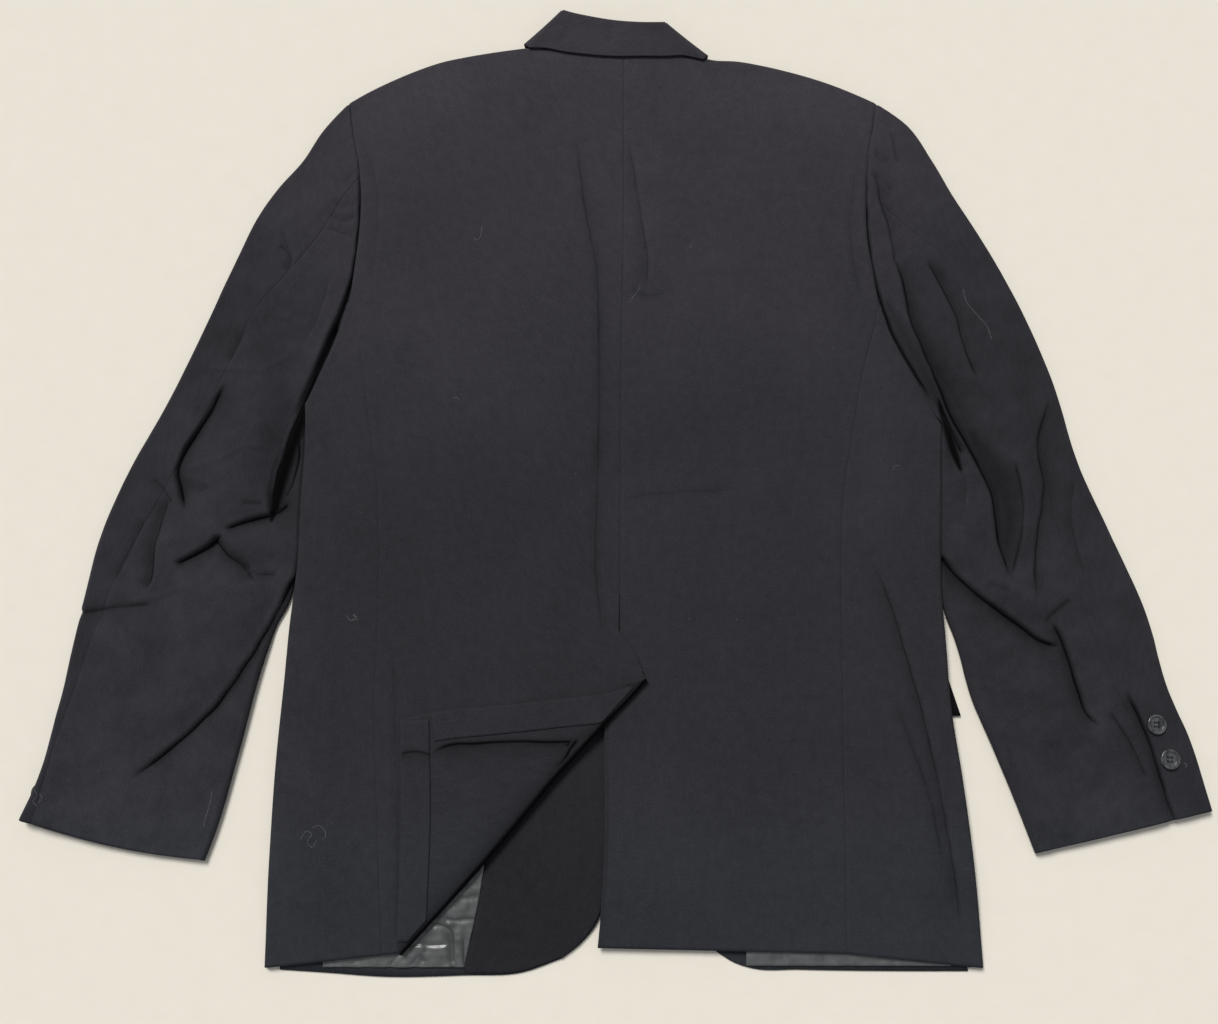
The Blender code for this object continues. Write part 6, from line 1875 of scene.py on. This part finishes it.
def corner_facings():
    along = steps_of(7, TIMES)
    share = along / along[-1]
    over = np.linspace(0, 1, 2 * TIMES + 1)[:, None, None]
    hem = CORNER_HEM.by_share(share)
    way = outward(hem, 1)
    plan = between((hem + way * FACING_EDGE)[None], (hem + way * FACING_WIDTH)[None], over)
    fold = FOLD_LINE.points[0] - (CORNER_TURN + CLOTH, 0)
    low = np.maximum(plan[:, 0, 1], fold[1] + (plan[:, 0, 0] - fold[0]) * FOLD_SLOPE + 2 * FACING_EDGE)
    high = plan[:, -1, 1] - FACING_EDGE
    plan[..., 1] = between(low[:, None], high[:, None], share[None])
    rise, folds = creases_at(plan, HEM_JOIN)
    height = corner_facing_height(plan) + np.clip(rise, -JOIN_SINK, JOIN_RISE)
    dress("hem_facing", lifted(plan, height), THIN_FACING, folds=folds)
    line = CORNER_VENT.in_steps(39)
    start = float(nearest(place(*VENT_FACING_START), line)[1])
    edge = CORNER_VENT.by_share(between(start, VENT_FACING_END, share))
    down = outward(edge, 1)
    run = FOLD_LINE.in_steps(59)
    slope = down @ outward(run[[20, 40]], 1)[0]
    width = np.minimum(FACING_WIDTH, nearest(edge, run)[0] / slope - 2 * CORNER_TURN - 2 * FACING_EDGE)
    plan = between((edge + down * FACING_EDGE)[None], (edge + down * width[:, None])[None], over)
    dress("vent_facing", lifted(plan, corner_facing_height(plan)), THIN_FACING)


corner_facings()

# %% [markdown]
# ## Buttons
# A horn button is turned on a lathe: a raised round rim, a shallow dish inside it and four drilled holes.
# Spinning a short profile gives the turned body, and a Boolean drills it. Two buttons close each cuff, and
# two larger ones lie under the right front's edge.

# %% Turn and drill the buttons
CUFF_BUTTON = 15.2 * MM
FRONT_BUTTON = 20 * MM
BUTTON_THICKNESS = 2.4 * MM
RIM = 1.9 * MM
DISH = 1.1 * MM
BUTTON_FOOT = 0.05 * MM
EDGE_ROUND = 0.7 * MM
EDGE_MIDDLE = 1.2 * MM
EDGE_HALF = 1.15 * MM
FRONT_BUTTONS = ((3.9, -11.2), (3.9, -21.6))
SEGMENTS = 56
HOLE_SPREAD = 0.2
HOLE_RADIUS = 0.115
ProfilePoint = namedtuple("ProfilePoint", "radius height")


def button_profile(radius):
    """The turned section, from the middle of the back round the edge to the middle of the dish."""
    edge = radius - EDGE_ROUND
    points = [ProfilePoint(0.5 * radius, BUTTON_FOOT), ProfilePoint(radius - 0.9 * MM, BUTTON_FOOT)]
    for k in range(9):
        angle = math.pi * (k / 8 - 0.5)
        height = EDGE_MIDDLE + EDGE_HALF * math.sin(angle)
        points.append(ProfilePoint(edge + EDGE_ROUND * math.cos(angle), height))
    top = BUTTON_THICKNESS - BUTTON_FOOT
    for k in range(1, 7):
        share = k / 6
        drop = (top - DISH) * float(ease(share))
        points.append(ProfilePoint(edge - RIM * (0.35 + 0.65 * share), top - drop))
    points.append(ProfilePoint(0.45 * radius, DISH - 0.12 * MM))
    return points


def turned(name, profile, segments):
    """A closed body from a profile spun round Z, with a flat cap at each end."""
    points = []
    for row in profile:
        for k in range(segments):
            angle = math.tau * k / segments
            points.append((row.radius * math.cos(angle), row.radius * math.sin(angle), row.height))
    count = len(profile)
    faces = [list(range(segments))[::-1], list(range((count - 1) * segments, count * segments))]
    for r in range(count - 1):
        for k in range(segments):
            near, far = r * segments + k, r * segments + (k + 1) % segments
            faces.append([near, far, far + segments, near + segments])
    mesh = bpy.data.meshes.new(name)
    mesh.from_pydata(points, [], faces)
    mesh.materials.append(HORN)
    return mesh


def evaluated(made):
    """The mesh that an object's modifiers give, as a plain mesh."""
    bpy.context.view_layer.update()
    return bpy.data.meshes.new_from_object(made.evaluated_get(bpy.context.evaluated_depsgraph_get()))


def button_mesh(diameter):
    radius = diameter / 2
    blank = put("button_blank", turned("button", button_profile(radius), SEGMENTS))
    drills = []
    for x, y in ((1, 1), (-1, 1), (-1, -1), (1, -1)):
        hole = [ProfilePoint(HOLE_RADIUS * radius, end) for end in (-MM, 2 * BUTTON_THICKNESS)]
        drill = put("drill", turned("drill", hole, 14))
        drill.location = (x * HOLE_SPREAD * radius, y * HOLE_SPREAD * radius, 0)
        drills.append(drill)
        cut = blank.modifiers.new("Hole", "BOOLEAN")
        cut.operation = "DIFFERENCE"
        cut.object = drill
    drilled = evaluated(blank)
    for helper in (blank, *drills):
        bpy.data.objects.remove(helper)
    drilled.shade_smooth()
    drilled.set_sharp_from_angle(angle=math.radians(40))
    return drilled


def button_places():
    """Each button's name, diameter, centre and the way its face looks."""
    found = []
    for n, spot in enumerate(CUFF_BUTTONS["right"], 1):
        spot = place(*spot)
        around = spot + np.array([(0, 0), (6, 0), (-6, 0), (0, 6), (0, -6)]) * MM
        z = sleeve_height(around, "right")
        normal = Vector((float(z[2] - z[1]), float(z[4] - z[3]), 12 * MM)).normalized()
        centre = Vector((*spot, float(z[0]))) + normal * (CLOTH / 2 + ROOM)
        found.append((f"cuff_button_right_{n}", CUFF_BUTTON, centre, normal))
    hidden = (
        ("cuff_button_left", CUFF_BUTTON, CUFF_BUTTONS["left"]),
        ("front_button", FRONT_BUTTON, FRONT_BUTTONS),
    )
    for called, size, spots in hidden:
        for n, spot in enumerate(spots, 1):
            centre = Vector((*place(*spot), BUTTON_THICKNESS))
            found.append((f"{called}_{n}", size, centre, Vector((0, 0, -1))))
    return found


BUTTON_MESHES = {size: button_mesh(size) for size in (CUFF_BUTTON, FRONT_BUTTON)}
BUTTON_TURNS = {}
for name, size, centre, normal in button_places():
    turn = Matrix.Translation(centre) @ normal.to_track_quat("Z", "Y").to_matrix().to_4x4()
    BUTTON_TURNS[name] = (turn, size)
    mesh = BUTTON_MESHES[size].copy()
    mesh.transform(turn)
    made = put(name + "_horn", mesh)
    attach(made, "root")
    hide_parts(name)
    print(f"{made.name}: {len(mesh.polygons)} faces")

# %% [markdown]
# ## Stitches and thread with Geometry Nodes
# Stitches repeat along a path, which is what Geometry Nodes do well. One tree turns a chain of edges into a
# curve, puts points on it at the stitch's pitch, lays a small rounded stitch on each along the path, and
# makes them real. A second tree sweeps a round thread along a path, for a button's thread and for lint.

# %% Build the two trees
ENDS = {
    "given": "NodeGroupInput",
    "last": "NodeGroupOutput",
    "real": "GeometryNodeRealizeInstances",
    "paint": "GeometryNodeSetMaterial",
}
END_LINKS = (
    "real.Geometry > paint.Geometry",
    "given.Finish > paint.Material",
    "paint.Geometry > last.Geometry",
)


def build_tree(name, sizes, kinds, settings, links):
    """A Geometry Nodes tree with named sizes, and its nodes by name. Each link is written out in words."""
    tree = bpy.data.node_groups.new(name, "GeometryNodeTree")
    tree.interface.new_socket("Geometry", in_out="INPUT", socket_type="NodeSocketGeometry")
    for label in sizes:
        tree.interface.new_socket(label, in_out="INPUT", socket_type="NodeSocketFloat")
    tree.interface.new_socket("Finish", in_out="INPUT", socket_type="NodeSocketMaterial")
    tree.interface.new_socket("Geometry", in_out="OUTPUT", socket_type="NodeSocketGeometry")
    nodes = {called: tree.nodes.new(kind) for called, kind in {**ENDS, **kinds}.items()}
    for called, setting, value in settings:
        setattr(nodes[called], setting, value)
    for link in (*links, *END_LINKS):
        (source, output), (target, socket) = [end.split(".") for end in link.split(" > ")]
        tree.links.new(nodes[source].outputs[output], nodes[target].inputs[socket])
    return tree, nodes


def stitch_tree():
    kinds = {
        "path": "GeometryNodeMeshToCurve",
        "points": "GeometryNodeCurveToPoints",
        "stitch": "GeometryNodeMeshUVSphere",
        "size": "ShaderNodeCombineXYZ",
        "turn": "FunctionNodeAlignRotationToVector",
        "lay": "GeometryNodeInstanceOnPoints",
    }
    links = (
        "given.Geometry > path.Mesh",
        "path.Curve > points.Curve",
        "given.Pitch > points.Length",
        "points.Tangent > turn.Vector",
        "points.Points > lay.Points",
        "stitch.Mesh > lay.Instance",
        "turn.Rotation > lay.Rotation",
        "given.Length > size.X",
        "given.Thickness > size.Y",
        "given.Thickness > size.Z",
        "size.Vector > lay.Scale",
        "lay.Instances > real.Geometry",
    )
    settings = (("points", "mode", "LENGTH"), ("turn", "axis", "X"))
    sizes = ("Pitch", "Length", "Thickness")
    tree, nodes = build_tree("Stitches along a path", sizes, kinds, settings, links)
    for socket, value in {"Segments": 8, "Rings": 6, "Radius": 0.5}.items():
        nodes["stitch"].inputs[socket].default_value = value
    return tree


def thread_tree():
    kinds = {
        "path": "GeometryNodeMeshToCurve",
        "smooth": "GeometryNodeResampleCurve",
        "round": "GeometryNodeCurvePrimitiveCircle",
        "sweep": "GeometryNodeCurveToMesh",
    }
    links = (
        "given.Geometry > path.Mesh",
        "path.Curve > smooth.Curve",
        "given.Step > smooth.Length",
        "given.Thickness > round.Radius",
        "smooth.Curve > sweep.Curve",
        "round.Curve > sweep.Profile Curve",
        "sweep.Mesh > real.Geometry",
    )
    settings = (("smooth", "mode", "LENGTH"),)
    sizes = ("Thickness", "Step")
    tree, nodes = build_tree("Thread along a path", sizes, kinds, settings, links)
    nodes["round"].inputs["Resolution"].default_value = 7
    nodes["sweep"].inputs["Fill Caps"].default_value = True
    return tree


STITCHES = stitch_tree()
THREAD = thread_tree()
print("Trees:", STITCHES.name, "and", THREAD.name)

# %% Run a tree along paths
def along_paths(name, tree, paths, finish, sizes):
    """A plain mesh piece that a tree makes along paths of points in space."""
    points, edges = [], []
    for path in paths:
        first = len(points)
        points.extend([tuple(map(float, p)) for p in path])
        edges.extend((first + k, first + k + 1) for k in range(len(path) - 1))
    guide_mesh = bpy.data.meshes.new(name + "_path")
    guide_mesh.from_pydata(points, edges, [])
    guide = put(name + "_path", guide_mesh)
    run = guide.modifiers.new("Run", "NODES")
    run.node_group = tree
    values = {**sizes, "Finish": finish}
    for item in tree.interface.items_tree:
        if item.in_out == "INPUT" and item.name in values:
            run[item.identifier] = values[item.name]
    mesh = evaluated(guide)
    bpy.data.objects.remove(guide)
    mesh.shade_smooth()
    made = put(name, mesh)
    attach(made, "root")
    print(f"{name}: {len(mesh.polygons)} faces on {len(paths)} paths")
    return made


print("A path needs two points or more")

# %% [markdown]
# ## Where the thread shows
# Each button is sewn with two parallel bars across its holes. The vent ends in a short row of small firm
# stitches, and pale tacking holds the facing's top edge. The stitches sit half sunk in the cloth.

# %% Sew the buttons on
THREAD_RADIUS = 0.26 * MM
THREAD_STEP = 0.3 * MM
STRANDS = (-0.34, 0.0, 0.34)


def button_bars():
    """Three strands from hole to hole, on both sides of each button."""
    paths = []
    for turn, size in BUTTON_TURNS.values():
        spread = HOLE_SPREAD * size / 2
        for x in (-spread, spread):
            for strand in STRANDS:
                path = []
                for k in range(9):
                    angle = math.pi * k / 8
                    y = -spread * math.cos(angle)
                    z = DISH - 0.45 * MM + 0.85 * MM * math.sin(angle) ** 0.6
                    off = strand * MM * (0.5 + 0.5 * math.sin(angle))
                    path.append(turn @ Vector((x + off, y, z)))
                paths.append(path)
    return paths


sizes = {"Thickness": THREAD_RADIUS, "Step": THREAD_STEP}
bars = along_paths("button_threads", THREAD, button_bars(), BLACK_THREAD, sizes)

# %% Sew the vent and tack the facing
def on_surface(points, height, lift):
    """A path over the cloth from table points, lifted above the middle of the cloth."""
    run = Line(*points).in_steps(29)
    return lifted(run, height(run) + lift)


HALF_SUNK = 0.05 * MM
ON_CLOTH = CLOTH / 2 + HALF_SUNK
ON_FACING = THIN_FACING / 2 + HALF_SUNK
BAR_TACK = on_surface(((0.3, -17.0), (1.2, -17.15), (2.1, -17.5), (2.5, -18.0)), overlap_height, ON_CLOTH)
FACING_TACK = (
    on_surface(((-13.6, -21.3), (-12.4, -21.2), (-11.4, -21.1)), corner_facing_height, ON_FACING),
    on_surface(((-11.4, -21.2), (-11.35, -20.6)), corner_facing_height, ON_FACING),
)
BAR_SIZES = {"Pitch": 1.1 * MM, "Length": 0.8 * MM, "Thickness": 0.35 * MM}
TACK_SIZES = {"Pitch": 1.4 * MM, "Length": 0.9 * MM, "Thickness": 0.3 * MM}
tack = along_paths("vent_bar_stitches", STITCHES, [BAR_TACK], PALE_THREAD, BAR_SIZES)
tacking = along_paths("facing_tacking", STITCHES, FACING_TACK, PALE_THREAD, TACK_SIZES)

# %% [markdown]
# ## Lint
# Black wool gathers pale fibres. Some curled hairs lie at listed points on the back, on the right sleeve and
# at both cuffs. Each is a fine thread swept along a short curve. Tiny specks are scattered over the back with
# a fixed seed.

# %% Drop the lint
HAIRS = (
    ((-11.2, 19.0), (-11.25, 18.3), (-11.5, 17.85), (-11.85, 18.0)),
    ((-23.7, -29.9), (-23.3, -29.35), (-22.9, -29.5), (-23.2, -30.2), (-22.8, -30.5), (-22.5, -30.0)),
    ((-22.9, -29.1), (-22.4, -28.95), (-22.0, -29.2), (-21.85, -29.7), (-22.1, -30.0)),
    ((-21.0, -13.2), (-20.6, -13.6), (-20.2, -13.3), (-20.5, -13.1), (-20.1, -13.6)),
    ((1.0, 12.4), (1.5, 13.1), (1.9, 13.7)),
    ((-13.2, 4.3), (-12.8, 4.25), (-12.7, 4.1)),
    ((21.9, -1.6), (22.1, -1.3), (22.5, -1.3)),
    ((6.0, 17.1), (6.15, 17.35), (6.1, 17.5)),
)
SLEEVE_HAIR = ((28.4, 13.6), (28.6, 12.6), (29.5, 11.3), (30.2, 10.4), (30.5, 9.3))
CUFF_HAIRS = {
    "left": (
        ((-44.0, -26.3), (-43.8, -26.8), (-44.05, -27.2), (-43.7, -27.5)),
        ((-43.6, -26.6), (-43.4, -27.0), (-43.65, -27.3)),
        ((-30.7, -26.4), (-30.8, -27.3), (-31.0, -28.2), (-31.15, -29.0)),
    ),
    "right": (((43.05, -24.35), (43.25, -24.5), (43.2, -24.7)),),
}
LINT_RADIUS = 0.06 * MM
LINT_STEP = 0.4 * MM
HAIR_LIFT = 0.1 * MM
SPECKS = 46
SPECK_LIFT = 0.08 * MM
SPECK_LENGTHS = (0.4, 1.1)


def hair_path(points, height=back_height):
    """A curled fibre that rests on the cloth."""
    plan = Line(*points).in_steps(23)
    return lifted(plan, height(plan) + CLOTH / 2 + HAIR_LIFT)


def speck_paths(count):
    """Tiny specks of lint over the back."""
    specks = []
    lint_rng = np.random.default_rng(21)
    for _ in range(count):
        spot = place(lint_rng.uniform(-21, 21), lint_rng.uniform(-14, 33))
        way = lint_rng.uniform(0, math.tau)
        along = np.outer(np.linspace(-0.5, 0.5, 3), (math.cos(way), math.sin(way)))
        plan = spot + along * lint_rng.uniform(*SPECK_LENGTHS) * MM
        specks.append(lifted(plan, back_height(plan) + CLOTH / 2 + SPECK_LIFT))
    return specks


hairs = [hair_path(hair) for hair in HAIRS]
hairs.append(hair_path(SLEEVE_HAIR, lambda plan: sleeve_height(plan, "right")))
for side in SIDES:
    hairs.extend(hair_path(hair, lambda plan: sleeve_height(plan, side)) for hair in CUFF_HAIRS[side])
sizes = {"Thickness": LINT_RADIUS, "Step": LINT_STEP}
lint = along_paths("lint", THREAD, hairs + speck_paths(SPECKS), LINT, sizes)
